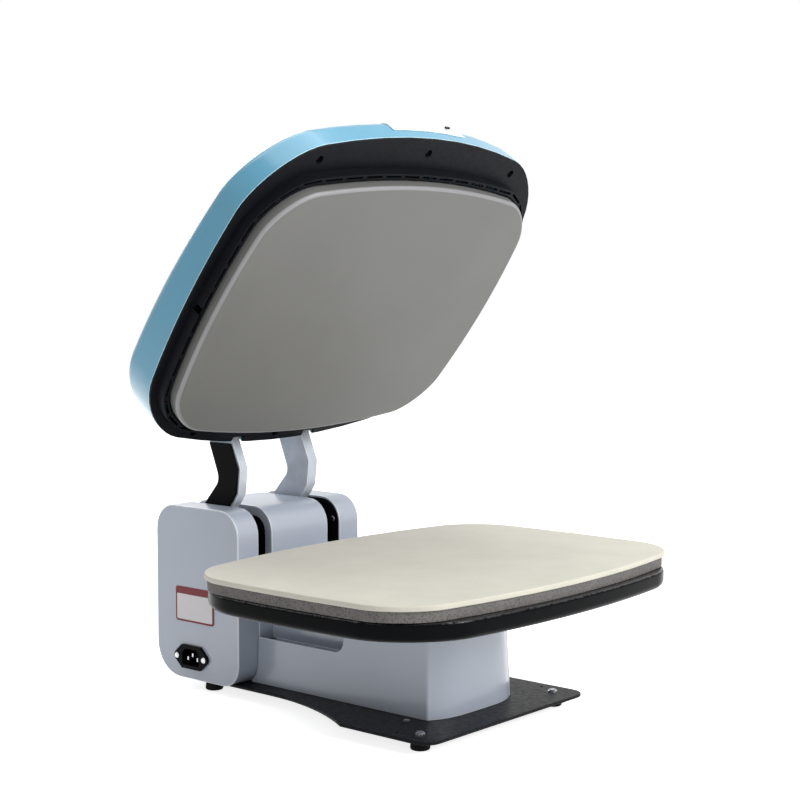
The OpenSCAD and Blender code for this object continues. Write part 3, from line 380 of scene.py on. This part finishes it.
def deselect_all():
    """Leaves edit mode and deselects everything."""
    if bpy.context.object and bpy.context.object.mode != "OBJECT":
        bpy.ops.object.mode_set(mode="OBJECT")
    bpy.ops.object.select_all(action="DESELECT")


def activate(piece):
    """Makes a piece the only selected object, and the active one."""
    deselect_all()
    piece.select_set(True)
    bpy.context.view_layer.objects.active = piece


def edit(piece):
    """Enters edit mode with nothing selected."""
    activate(piece)
    bpy.ops.object.mode_set(mode="EDIT")
    bpy.ops.mesh.select_all(action="DESELECT")


def leave_edit():
    """Goes back to object mode."""
    bpy.ops.object.mode_set(mode="OBJECT")


def pick(piece, kind, test):
    """In edit mode, selects only the verts, edges or faces that pass a test."""
    bpy.ops.mesh.select_mode(type={"verts": "VERT", "edges": "EDGE", "faces": "FACE"}[kind])
    bpy.ops.mesh.select_all(action="DESELECT")
    mesh = bmesh.from_edit_mesh(piece.data)
    mesh.normal_update()
    for element in filter(test, getattr(mesh, kind)):
        element.select_set(True)
    mesh.select_flush_mode()
    bmesh.update_edit_mesh(piece.data)


def block(name, low, high):
    """A cube primitive between two corners, its place in its mesh."""
    deselect_all()
    low, high = Vector(low), Vector(high)
    bpy.ops.mesh.primitive_cube_add(size=1, location=(low + high) / 2, scale=high - low)
    piece = bpy.context.object
    piece.name = piece.data.name = name
    bpy.ops.object.transform_apply(location=True, rotation=True, scale=True)
    return piece


def upright(edge):
    """Whether an edge stands upright."""
    a, b = (v.co for v in edge.verts)
    return abs(a.z - b.z) > 10 * SAME and (a - b).xy.length < SAME


def bowed_block(name, centre, size, corner, bow, corner_steps=12, side_cuts=9):
    """A block with rounded corners and sides that bow out; size is measured at mid-side.

    The first bow is that of the left and right, the second that of the front and rear.
    """
    half = Vector(size) / 2
    straight = Vector((half.x - bow[0], half.y - bow[1], half.z))
    centre = Vector(centre)
    piece = block(name, -straight, straight)
    edit(piece)
    pick(piece, "edges", upright)
    bpy.ops.mesh.bevel(offset=corner, offset_type="OFFSET", segments=corner_steps,
                       affect="EDGES", profile=0.5)
    # Only the straight sides are this long; the steps of a corner are not.
    long_side = 2 * (min(straight.x, straight.y) - corner) * 0.9
    pick(piece, "edges", lambda e: e.calc_length() > long_side and not upright(e))
    bpy.ops.mesh.subdivide(number_cuts=side_cuts)
    leave_edit()
    rest = [v.co.copy() for v in piece.data.vertices]
    rows = {round(abs(p.y), 6) for p in rest}
    columns = {round(abs(p.x), 6) for p in rest}
    # Each row of points is stretched by its own share of a parabola.
    for axis, levels, along, span in ((0, rows, straight.x, straight.y),
                                      (1, columns, straight.y, straight.x)):
        other = 1 - axis
        for level in sorted(levels):
            factor = 1 + bow[axis] / along * (1 - (level / span) ** 2)
            if factor - 1 < 1e-6:
                continue
            edit(piece)
            mesh = bmesh.from_edit_mesh(piece.data)
            mesh.verts.ensure_lookup_table()
            for index, point in enumerate(rest):
                if abs(abs(point[other]) - level) < 2 * SAME:
                    mesh.verts[index].select = True
            bmesh.update_edit_mesh(piece.data)
            scale = (factor, 1, 1) if axis == 0 else (1, factor, 1)
            bpy.ops.transform.resize(value=scale, center_override=(0, 0, 0))
            leave_edit()
    piece.data.transform(Matrix.Translation(centre))
    return piece


def ring_edges(height):
    """A test for the level edges at one height."""
    return lambda e: all(abs(v.co.z - height) < SAME for v in e.verts)


def bevel_ring(piece, height, width, steps, material=-1):
    """Rounds a block's outline at one height; material is the rounding's material index, such as a painted
    highlight, -1 for none.
    """
    edit(piece)
    pick(piece, "edges", ring_edges(height))
    bpy.ops.mesh.bevel(offset=width, offset_type="OFFSET", segments=steps, affect="EDGES",
                       profile=0.5, material=material)
    leave_edit()


def apply_modifier(piece, kind, name, **settings):
    """Adds a modifier with its settings and applies it."""
    activate(piece)
    modifier = piece.modifiers.new(name, kind)
    for key, value in settings.items():
        setattr(modifier, key, value)
    bpy.ops.object.modifier_apply(modifier=modifier.name)


def smooth(piece, angle=35):
    """Smooth shading that keeps flat faces flat beside their eased edges."""
    activate(piece)
    bpy.ops.object.shade_smooth_by_angle(angle=math.radians(angle))
    apply_modifier(piece, "WEIGHTED_NORMAL", "flat_faces", keep_sharp=True, weight=80)


def give_finish_and_highlight(piece, slot):
    """Adds a slot's finish and, where there is one, its painted edge highlight; gives the highlight's index."""
    piece.data.materials.append(MATERIALS[slot])
    if slot not in EDGE_HIGHLIGHTS:
        return -1
    piece.data.materials.append(MATERIALS[EDGE_HIGHLIGHTS[slot]])
    return 1


def ease_edges(piece, slot, width, angle=50, steps=2):
    """Rounds sharp edges by width millimetres, and gives them the slot's painted highlight where it has one."""
    apply_modifier(piece, "BEVEL", "ease", width=width * MM, segments=steps,
                   limit_method="ANGLE", angle_limit=math.radians(angle),
                   use_clamp_overlap=False, material=give_finish_and_highlight(piece, slot))


def finish_piece(piece, body, slot, *nodes, material=None, angle=35):
    """Shades a finished piece, gives it its finish and body, and hides what it stands for."""
    smooth(piece, angle)
    if not piece.data.materials:
        piece.data.materials.append(MATERIALS[material or slot])
    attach(piece, body)
    if nodes:
        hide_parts(*nodes)


def cut_with(piece, cutter, operation="DIFFERENCE"):
    """Boolean with another piece, which is then removed."""
    apply_modifier(piece, "BOOLEAN", "cut", operation=operation, object=cutter, solver="EXACT")
    bpy.data.objects.remove(cutter)


def copy_node(node, name, merge):
    """A CAD node's mesh, corners within merge millimetres joined, flat faces too."""
    source = frame["nodes"][node]
    piece = source.copy()
    piece.data = source.data.copy()
    piece.name = piece.data.name = name
    piece.parent = None
    for key in list(piece.keys()):
        if key.startswith("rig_"):
            del piece[key]
    bpy.context.scene.collection.objects.link(piece)
    piece.data.materials.clear()
    edit(piece)
    bpy.ops.mesh.select_all(action="SELECT")
    bpy.ops.mesh.remove_doubles(threshold=merge * MM)
    bpy.ops.mesh.dissolve_limited(angle_limit=math.radians(0.6))
    leave_edit()
    return piece


# A CAD node's edges are eased where its faces meet at more than this angle, in degrees.
NODE_EDGE_ANGLE = 40
# An edge at least this wide, in millimetres, needs the node's small facets joined first.
WIDE_EDGE = 0.5
WIDE_MERGE = 0.15
FINE_MERGE = 0.004


def dress_node(node, body, slot, edge, steps=2):
    """A CAD node's form with its edges eased, as a finished piece that stands for it."""
    piece = copy_node(node, node + "_finished", WIDE_MERGE if edge >= WIDE_EDGE else FINE_MERGE)
    if edge:
        ease_edges(piece, slot, edge, NODE_EDGE_ANGLE, steps)
    finish_piece(piece, body, slot, node)


def to_hood(piece):
    """Swings a piece that was modelled in the shut hood's own frame to the open hood."""
    piece.data.transform(Matrix.Translation(HINGE) @ Matrix.Rotation(-OPEN_ANGLE, 4, "X")
                         @ Matrix.Translation(-HINGE)
                         @ Matrix.Translation((0, PLATEN_Y, FACE_Z)))
    piece.data.update()


# How far the hood's walls lean in towards the top, on each side.
HOOD_DRAFT = 0.4 * MM
# The rings of the hood's crown: how far each is drawn in, and how far it rises.
CROWN_RINGS = ((8.4 * MM, 0.9 * MM), (40.6 * MM, 1.9 * MM), (60 * MM, 1.2 * MM))


def hood_solid(name, sizes, grow=0.0, dip=0.0):
    """The hood's form grown or shrunk, closed and dipped below, in the hood's own frame."""
    low = sizes.rim_height - dip
    high = (sizes.hood_front_height + sizes.hood_rear_height) / 2 + grow
    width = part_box("head_shell")[1].x * 2
    size = (width + 2 * grow, sizes.hood_depth + 2 * grow, high - low)
    piece = bowed_block(name, (0, -sizes.hood_shift, (low + high) / 2), size,
                        sizes.hood_corner + grow, (sizes.hood_side_bow, sizes.hood_end_bow))
    centre = (0, -sizes.hood_shift, high)
    edit(piece)
    pick(piece, "verts", lambda v: abs(v.co.z - high) < SAME)
    bpy.ops.transform.resize(
        value=((size[0] - 2 * HOOD_DRAFT) / size[0], (size[1] - 2 * HOOD_DRAFT) / size[1], 1),
        center_override=centre)
    leave_edit()
    rounding = sizes.hood_edge + grow
    bevel_ring(piece, high, rounding, 10)
    edit(piece)
    pick(piece, "faces", lambda f: f.normal.z > 0.999 and f.calc_center_median().z > high - SAME)
    edge = rounding + HOOD_DRAFT
    reach = Vector(size) / 2 - Vector((edge, edge, 0))
    for step, rise in CROWN_RINGS:
        bpy.ops.mesh.extrude_region()
        bpy.ops.transform.resize(value=(1 - step / reach.x, 1 - step / reach.y, 1),
                                 center_override=centre)
        bpy.ops.transform.translate(value=(0, 0, rise))
        reach -= Vector((step, step, 0))
    # The top rises to the back: everything above the wall is turned about its middle.
    pick(piece, "verts", lambda v: v.co.z > high - rounding - 0.1 * MM)
    slope = math.atan((sizes.hood_rear_height - sizes.hood_front_height) / sizes.hood_depth)
    bpy.ops.transform.rotate(value=-slope, orient_axis="X", center_override=centre)
    leave_edit()
    return piece


class HEATPRESS_OT_stage(bpy.types.Operator):
    """Pale floor, soft lamps, white surroundings and the camera"""

    bl_idname = "heatpress.stage"
    bl_label = "Stage"

    def execute(self, context):
        make_floor()
        make_lamps()
        make_world()
        make_camera()
        return {"FINISHED"}


def camera_rays(tree):
    """1 where the eye, a reflection or a refraction looks, 0 for light on the object."""
    path = add_node(tree, "ShaderNodeLightPath")
    first = add_node(tree, "ShaderNodeMath", {"operation": "MAXIMUM"},
                     i0=path.outputs["Is Camera Ray"], i1=path.outputs["Is Glossy Ray"])
    return add_node(tree, "ShaderNodeMath", {"operation": "MAXIMUM"}, i0=first.outputs[0],
                    i1=path.outputs["Is Transmission Ray"]).outputs[0]


# Edge of the square floor, in metres.
FLOOR_SIZE = 12
# What the eye sees the floor shine by, so that it meets the white background.
FLOOR_GLOW = 0.8


def make_floor():
    """A matt pale floor that casts no light of its own on the press."""
    deselect_all()
    bpy.ops.mesh.primitive_plane_add(size=FLOOR_SIZE)
    floor = bpy.context.object
    floor.name = "floor"
    material, tree, shader, _ = new_material("matt_white_floor")
    fill(tree, shader, Base_Color=linear("F4F4F4"), Roughness=0.9)
    glow = add_node(tree, "ShaderNodeEmission", Strength=FLOOR_GLOW)
    both = add_node(tree, "ShaderNodeAddShader", i0=shader.outputs[0], i1=glow.outputs[0])
    chosen = add_node(tree, "ShaderNodeMixShader", i0=camera_rays(tree),
                      i1=shader.outputs[0], i2=both.outputs[0])
    fill(tree, tree.nodes["Material Output"], Surface=chosen.outputs[0])
    floor.data.materials.append(material)


LAMP_TARGET = (0, 0, 0.25)
# Each softbox has its name, its place, its edge in metres and its power in watts.
LAMPS = (
    ("key_softbox", (0.5, -2.3, 1.6), 1.6, 62),
    ("left_softbox", (-2.2, -0.4, 1.2), 1.6, 5),
    ("top_softbox", (0.0, 0.3, 2.4), 2.0, 27),
    ("back_softbox", (0.8, 2.0, 1.5), 1.4, 14),
)


def make_lamps():
    """Square softboxes that face the middle of the press."""
    for name, place, size, power in LAMPS:
        deselect_all()
        bpy.ops.object.light_add(type="AREA", location=place)
        lamp = bpy.context.object
        lamp.name = name
        lamp.data.size = size
        lamp.data.energy = power
        aim = Vector(LAMP_TARGET) - Vector(place)
        lamp.rotation_euler = aim.to_track_quat("-Z", "Y").to_euler()


# Strength of the white surroundings as light on the object; the eye sees them at 1.
AMBIENT = 0.25


def make_world():
    """White surroundings that light the press only a little."""
    bpy.context.scene.view_settings.view_transform = "Standard"
    world = bpy.data.worlds.new("white_studio")
    bpy.context.scene.world = world
    world.use_nodes = True
    tree = world.node_tree
    background = tree.nodes["Background"]
    fill(tree, background, Color=(1, 1, 1, 1))
    scale = add_node(tree, "ShaderNodeMath", {"operation": "MULTIPLY_ADD"},
                     i0=camera_rays(tree), i1=1 - AMBIENT, i2=AMBIENT)
    fill(tree, background, Strength=scale.outputs[0])


# The camera that took the photo, as solved from the outlines of the press.
CAMERA_PLACE = (-1.2337, PLATEN_Y - 1.0064, 0.4262)
CAMERA_AZIMUTH = -49.3
CAMERA_ELEVATION = 4.3
FOCAL_PIXELS = 1671.7
PHOTO_PIXELS = 800
SENSOR_MM = 36


def make_camera():
    """The photo's view."""
    bpy.ops.object.camera_add(location=CAMERA_PLACE)
    camera = bpy.context.object
    camera.data.sensor_width = SENSOR_MM
    camera.data.lens = FOCAL_PIXELS * SENSOR_MM / PHOTO_PIXELS
    a, e = math.radians(CAMERA_AZIMUTH), math.radians(CAMERA_ELEVATION)
    back = Vector((math.sin(a) * math.cos(e), -math.cos(a) * math.cos(e), math.sin(e)))
    camera.rotation_mode = "QUATERNION"
    camera.rotation_quaternion = (-back).to_track_quat("-Z", "Y")
    camera.data.clip_start = 0.05
    bpy.context.scene.camera = camera


# Radius of the eased edges of each pad.
FELT_EDGE = 1.3 * MM
FOAM_EDGE = 0.8 * MM
# Soft pieces are smooth over edges up to this angle, in degrees.
SOFT_ANGLE = 60


class HEATPRESS_OT_pads(bpy.types.Operator):
    """Felt pad over a sponge pad"""

    bl_idname = "heatpress.pads"
    bl_label = "Pads"

    def execute(self, context):
        sizes = context.scene.heatpress_sizes
        bow = (sizes.pad_side_bow, sizes.pad_end_bow)
        felt = bowed_block("felt_sheet", (FELT_LOW + FELT_HIGH) / 2, FELT_HIGH - FELT_LOW,
                           sizes.pad_corner, bow)
        for height in (FELT_LOW.z, FELT_HIGH.z):
            bevel_ring(felt, height, FELT_EDGE, 3)
        finish_piece(felt, "base", "felt", "felt_pad", angle=SOFT_ANGLE)
        foam = bowed_block("sponge_sheet", (FOAM_LOW + FOAM_HIGH) / 2, FOAM_HIGH - FOAM_LOW,
                           sizes.pad_corner, bow)
        for height in (FOAM_LOW.z, FOAM_HIGH.z):
            bevel_ring(foam, height, FOAM_EDGE, 2)
        finish_piece(foam, "base", "silicone_foam", "foam_pad", angle=SOFT_ANGLE)
        return {"FINISHED"}


# Radius of the tray's upper edge, and the gap round the steel plate let into its underside.
TRAY_LIP = 3 * MM
RECESS_GAP = 0.3 * MM


class HEATPRESS_OT_tray(bpy.types.Operator):
    """Black tray under the pads"""

    bl_idname = "heatpress.tray"
    bl_label = "Tray"

    def execute(self, context):
        sizes = context.scene.heatpress_sizes
        tray = bowed_block("enamelled_tray", (TRAY_LOW + TRAY_HIGH) / 2, TRAY_HIGH - TRAY_LOW,
                           sizes.tray_corner, (sizes.tray_side_bow, sizes.tray_end_bow))
        bevel_ring(tray, TRAY_LOW.z, sizes.tray_round, 6)
        bevel_ring(tray, TRAY_HIGH.z, TRAY_LIP, 3)
        low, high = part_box("lower_plate")
        gap = Vector((RECESS_GAP, RECESS_GAP, RECESS_GAP))
        cut_with(tray, block("plate_recess", (low.x - gap.x, low.y - gap.y, low.z - OVERRUN),
                             high + gap))
        finish_piece(tray, "base", "gloss_black", "lower_tray")
        return {"FINISHED"}


class HEATPRESS_OT_platen(bpy.types.Operator):
    """Heated platen"""

    bl_idname = "heatpress.platen"
    bl_label = "Heated platen"

    def execute(self, context):
        sizes = context.scene.heatpress_sizes
        thick = sizes.platen_thickness
        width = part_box("heat_platen")[1].x * 2
        platen = bowed_block("coated_platen", (0, 0, thick / 2),
                             (width, sizes.platen_depth, thick), sizes.platen_corner,
                             (sizes.platen_side_bow, sizes.platen_end_bow),
                             corner_steps=16, side_cuts=11)
        # The rounding round the heated face gets a painted highlight, a lighter copy of the coat.
        edge_highlight = give_finish_and_highlight(platen, "heated_aluminium")
        bevel_ring(platen, 0, sizes.platen_edge, 3, material=edge_highlight)
        to_hood(platen)
        finish_piece(platen, "head", "heated_aluminium", "heat_platen")
        return {"FINISHED"}


# The notches that let the arms into the hood, in its own frame.
NOTCH_FRONT = 140 * MM
NOTCH_REAR = 220 * MM
NOTCH_TOP = 58 * MM
ARM_GAP = 1 * MM
# How far the hollow in a moulding dips below its rim, so that the cut is clean.
HOLLOW_DIP = 5 * MM


class HEATPRESS_OT_hood(bpy.types.Operator):
    """Moulded hood with its arm notches"""

    bl_idname = "heatpress.hood"
    bl_label = "Hood"

    def execute(self, context):
        sizes = context.scene.heatpress_sizes
        hood = hood_solid("moulded_hood", sizes)
        cut_with(hood, hood_solid("hood_core", sizes, -sizes.hood_wall, HOLLOW_DIP))
        low = sizes.rim_height
        arm_low, arm_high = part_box("right_arm")
        for side in (-1, 1):
            left, right = sorted((side * (arm_low.x - ARM_GAP), side * (arm_high.x + ARM_GAP)))
            cut_with(hood, block("arm_notch", (left, NOTCH_FRONT, low - OVERRUN),
                                 (right, NOTCH_REAR, NOTCH_TOP)))
        # The eased edges get the hood's painted highlight.
        ease_edges(hood, "sky_blue", 0.7)
        to_hood(hood)
        finish_piece(hood, "head", "sky_blue", "head_shell")
        return {"FINISHED"}


# How far the panel stands proud of the hood, and the radius of its corners.
PANEL_PROUD = 1 * MM
PANEL_CORNER = 8 * MM
# The panel's depth is measured from this far in front of the hood.
PANEL_LEAD = 6 * MM
# A height above all of the hood.
PANEL_TOP = 100 * MM
# The dark socket: its sides right of the panel's middle, its heights, and how far its face
# and its back lie from the panel's wall.
SOCKET_SIDES = (30 * MM, 36 * MM)
SOCKET_HEIGHTS = (44 * MM, 46 * MM)
SOCKET_PROUD = 0.4 * MM
SOCKET_SUNK = 1.4 * MM


class HEATPRESS_OT_control_panel(bpy.types.Operator):
    """White control panel that wraps over the hood's front edge"""

    bl_idname = "heatpress.control_panel"
    bl_label = "Control panel"

    def execute(self, context):
        sizes = context.scene.heatpress_sizes
        panel = hood_solid("panel_cap", sizes, PANEL_PROUD)
        cut_with(panel, hood_solid("hood_core", sizes))
        front = -sizes.hood_depth / 2 - sizes.hood_shift
        left = sizes.panel_offset - sizes.panel_width / 2
        rear = front - PANEL_LEAD + sizes.panel_depth
        limit = block("panel_limit", (left, front - OVERRUN, sizes.rim_height + sizes.panel_low),
                      (left + sizes.panel_width, rear, PANEL_TOP))
        edit(limit)
        pick(limit, "edges", upright)
        bpy.ops.mesh.bevel(offset=PANEL_CORNER, segments=6, affect="EDGES")
        leave_edit()
        cut_with(panel, limit, "INTERSECT")
        ease_edges(panel, "white_panel", 0.4)
        to_hood(panel)
        finish_piece(panel, "head", "white_panel", "control_panel")
        wall = front - PANEL_PROUD
        near, far = (sizes.panel_offset + side for side in SOCKET_SIDES)
        socket = block("panel_socket", (near, wall - SOCKET_PROUD, SOCKET_HEIGHTS[0]),
                       (far, wall + SOCKET_SUNK, SOCKET_HEIGHTS[1]))
        to_hood(socket)
        finish_piece(socket, "head", "display")
        return {"FINISHED"}


# Each cover has its node and the width of its eased edges in millimetres.
COVERS = (("pedestal_shell", 0.8), ("neck_cover", 0.8), ("left_tower_cover", 1.2),
          ("centre_tower_cover", 0.8), ("right_tower_cover", 1.0))


class HEATPRESS_OT_covers(bpy.types.Operator):
    """Grey moulded covers of the pedestal and the towers"""

    bl_idname = "heatpress.covers"
    bl_label = "Covers"

    def execute(self, context):
        for node, edge in COVERS:
            # The eased edges get the covers' painted highlight.
            dress_node(node, "base", "grey_cover", edge, 3)
        return {"FINISHED"}


# Each part has its node, its body, its slot and the width of its eased edges.
STEEL_PARTS = (
    ("base_plate", "base", "powder_black", 0.6),
    ("outer_hinge_plates", "base", "powder_black", 0.4),
    ("left_arm", "head", "arm_paint", 0.8),
    ("right_arm", "head", "arm_paint", 0.8),
    ("arm_cable_cover", "head", "black_plastic", 0.6),
    ("head_skirt", "head", "skirt_black", 0.0),
    ("front_feet", "base", "rubber", 0.6),
    ("rear_feet", "base", "rubber", 0.6),
    ("foot_screws", "base", "zinc_screw", 0.0),
    ("plate_screws", "base", "zinc_screw", 0.0),
    ("skirt_screws", "head", "dark_screw", 0.0),
    ("power_inlet", "base", "black_plastic", 0.5),
    ("inlet_pins", "base", "zinc_screw", 0.3),
    ("inlet_screws", "base", "zinc_screw", 0.0),
    ("lower_plate", "base", "steel", 0.4),
    ("display_window", "head", "display", 0.3),
    ("panel_keys", "head", "key_grey", 0.3),
)


class HEATPRESS_OT_steel_parts(bpy.types.Operator):
    """Plates, arms, feet, screws and the inlet, with their edges eased"""

    bl_idname = "heatpress.steel_parts"
    bl_label = "Steel parts and fittings"

    def execute(self, context):
        for node, body, slot, edge in STEEL_PARTS:
            # The arms' eased edges get a painted highlight; the other parts keep their own finish.
            dress_node(node, body, slot, edge)
        return {"FINISHED"}


# The rating plate's border and its header, how far its face stands proud and goes in,
# and the radius of the face's corners.
LABEL_RIM = 2.2 * MM
LABEL_HEADER = 7.5 * MM
LABEL_PROUD = 0.25 * MM
LABEL_SUNK = 0.1 * MM
LABEL_CORNER = 1.5 * MM


class HEATPRESS_OT_rating_plate(bpy.types.Operator):
    """Bare rating plate: a dark red border round a pale face"""

    bl_idname = "heatpress.rating_plate"
    bl_label = "Rating plate"

    def execute(self, context):
        dress_node("rating_plate", "base", "rating_plate", 0.15)
        low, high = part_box("rating_plate")
        face = block("rating_plate_face",
                     (low.x - LABEL_PROUD, low.y + LABEL_RIM, low.z + LABEL_RIM),
                     (low.x + LABEL_SUNK, high.y - LABEL_RIM, high.z - LABEL_HEADER))
        edit(face)
        pick(face, "edges", lambda e: abs(e.verts[0].co.x - e.verts[1].co.x) > 10 * SAME)
        bpy.ops.mesh.bevel(offset=LABEL_CORNER, segments=4, affect="EDGES")
        leave_edit()
        finish_piece(face, "base", "rating_plate", material="label_face")
        return {"FINISHED"}


class HEATPRESS_OT_inner_parts(bpy.types.Operator):
    """Finishes for the pieces inside, which keep their own form"""

    bl_idname = "heatpress.inner_parts"
    bl_label = "Inner parts"

    def execute(self, context):
        slots = {row["node"]: row["material_slot"] for row in frame["record"]["subparts"]}
        for node, piece in frame["nodes"].items():
            if piece.hide_render:
                continue
            piece.data.materials.clear()
            piece.data.materials.append(MATERIALS[slots[node]])
        return {"FINISHED"}


OPERATORS = (HEATPRESS_OT_stage, HEATPRESS_OT_pads, HEATPRESS_OT_tray, HEATPRESS_OT_platen,
             HEATPRESS_OT_hood, HEATPRESS_OT_control_panel, HEATPRESS_OT_covers,
             HEATPRESS_OT_steel_parts, HEATPRESS_OT_rating_plate, HEATPRESS_OT_inner_parts)


class HEATPRESS_PT_panel(bpy.types.Panel):
    """Lists the steps in the 3D view's sidebar"""

    bl_label = "Heat Press"
    bl_idname = "HEATPRESS_PT_panel"
    bl_space_type = "VIEW_3D"
    bl_region_type = "UI"
    bl_category = "Heat Press"

    def draw(self, context):
        for operator in OPERATORS:
            self.layout.operator(operator.bl_idname)
        for group in (context.scene.heatpress_sizes, context.scene.heatpress_colours):
            for name in group.bl_rna.properties.keys():
                if name not in ("rna_type", "name"):
                    self.layout.prop(group, name)


CLASSES = (PressSizes, PressColours) + OPERATORS + (HEATPRESS_PT_panel,)


def register():
    for cls in CLASSES:
        bpy.utils.register_class(cls)
    bpy.types.Scene.heatpress_sizes = bpy.props.PointerProperty(type=PressSizes)
    bpy.types.Scene.heatpress_colours = bpy.props.PointerProperty(type=PressColours)


def unregister():
    del bpy.types.Scene.heatpress_sizes
    del bpy.types.Scene.heatpress_colours
    for cls in reversed(CLASSES):
        bpy.utils.unregister_class(cls)


def main():
    register()
    make_materials(bpy.context.scene.heatpress_colours)
    for operator in OPERATORS:
        group, name = operator.bl_idname.split(".")
        getattr(getattr(bpy.ops, group), name)()


if __name__ == "__main__":
    main()
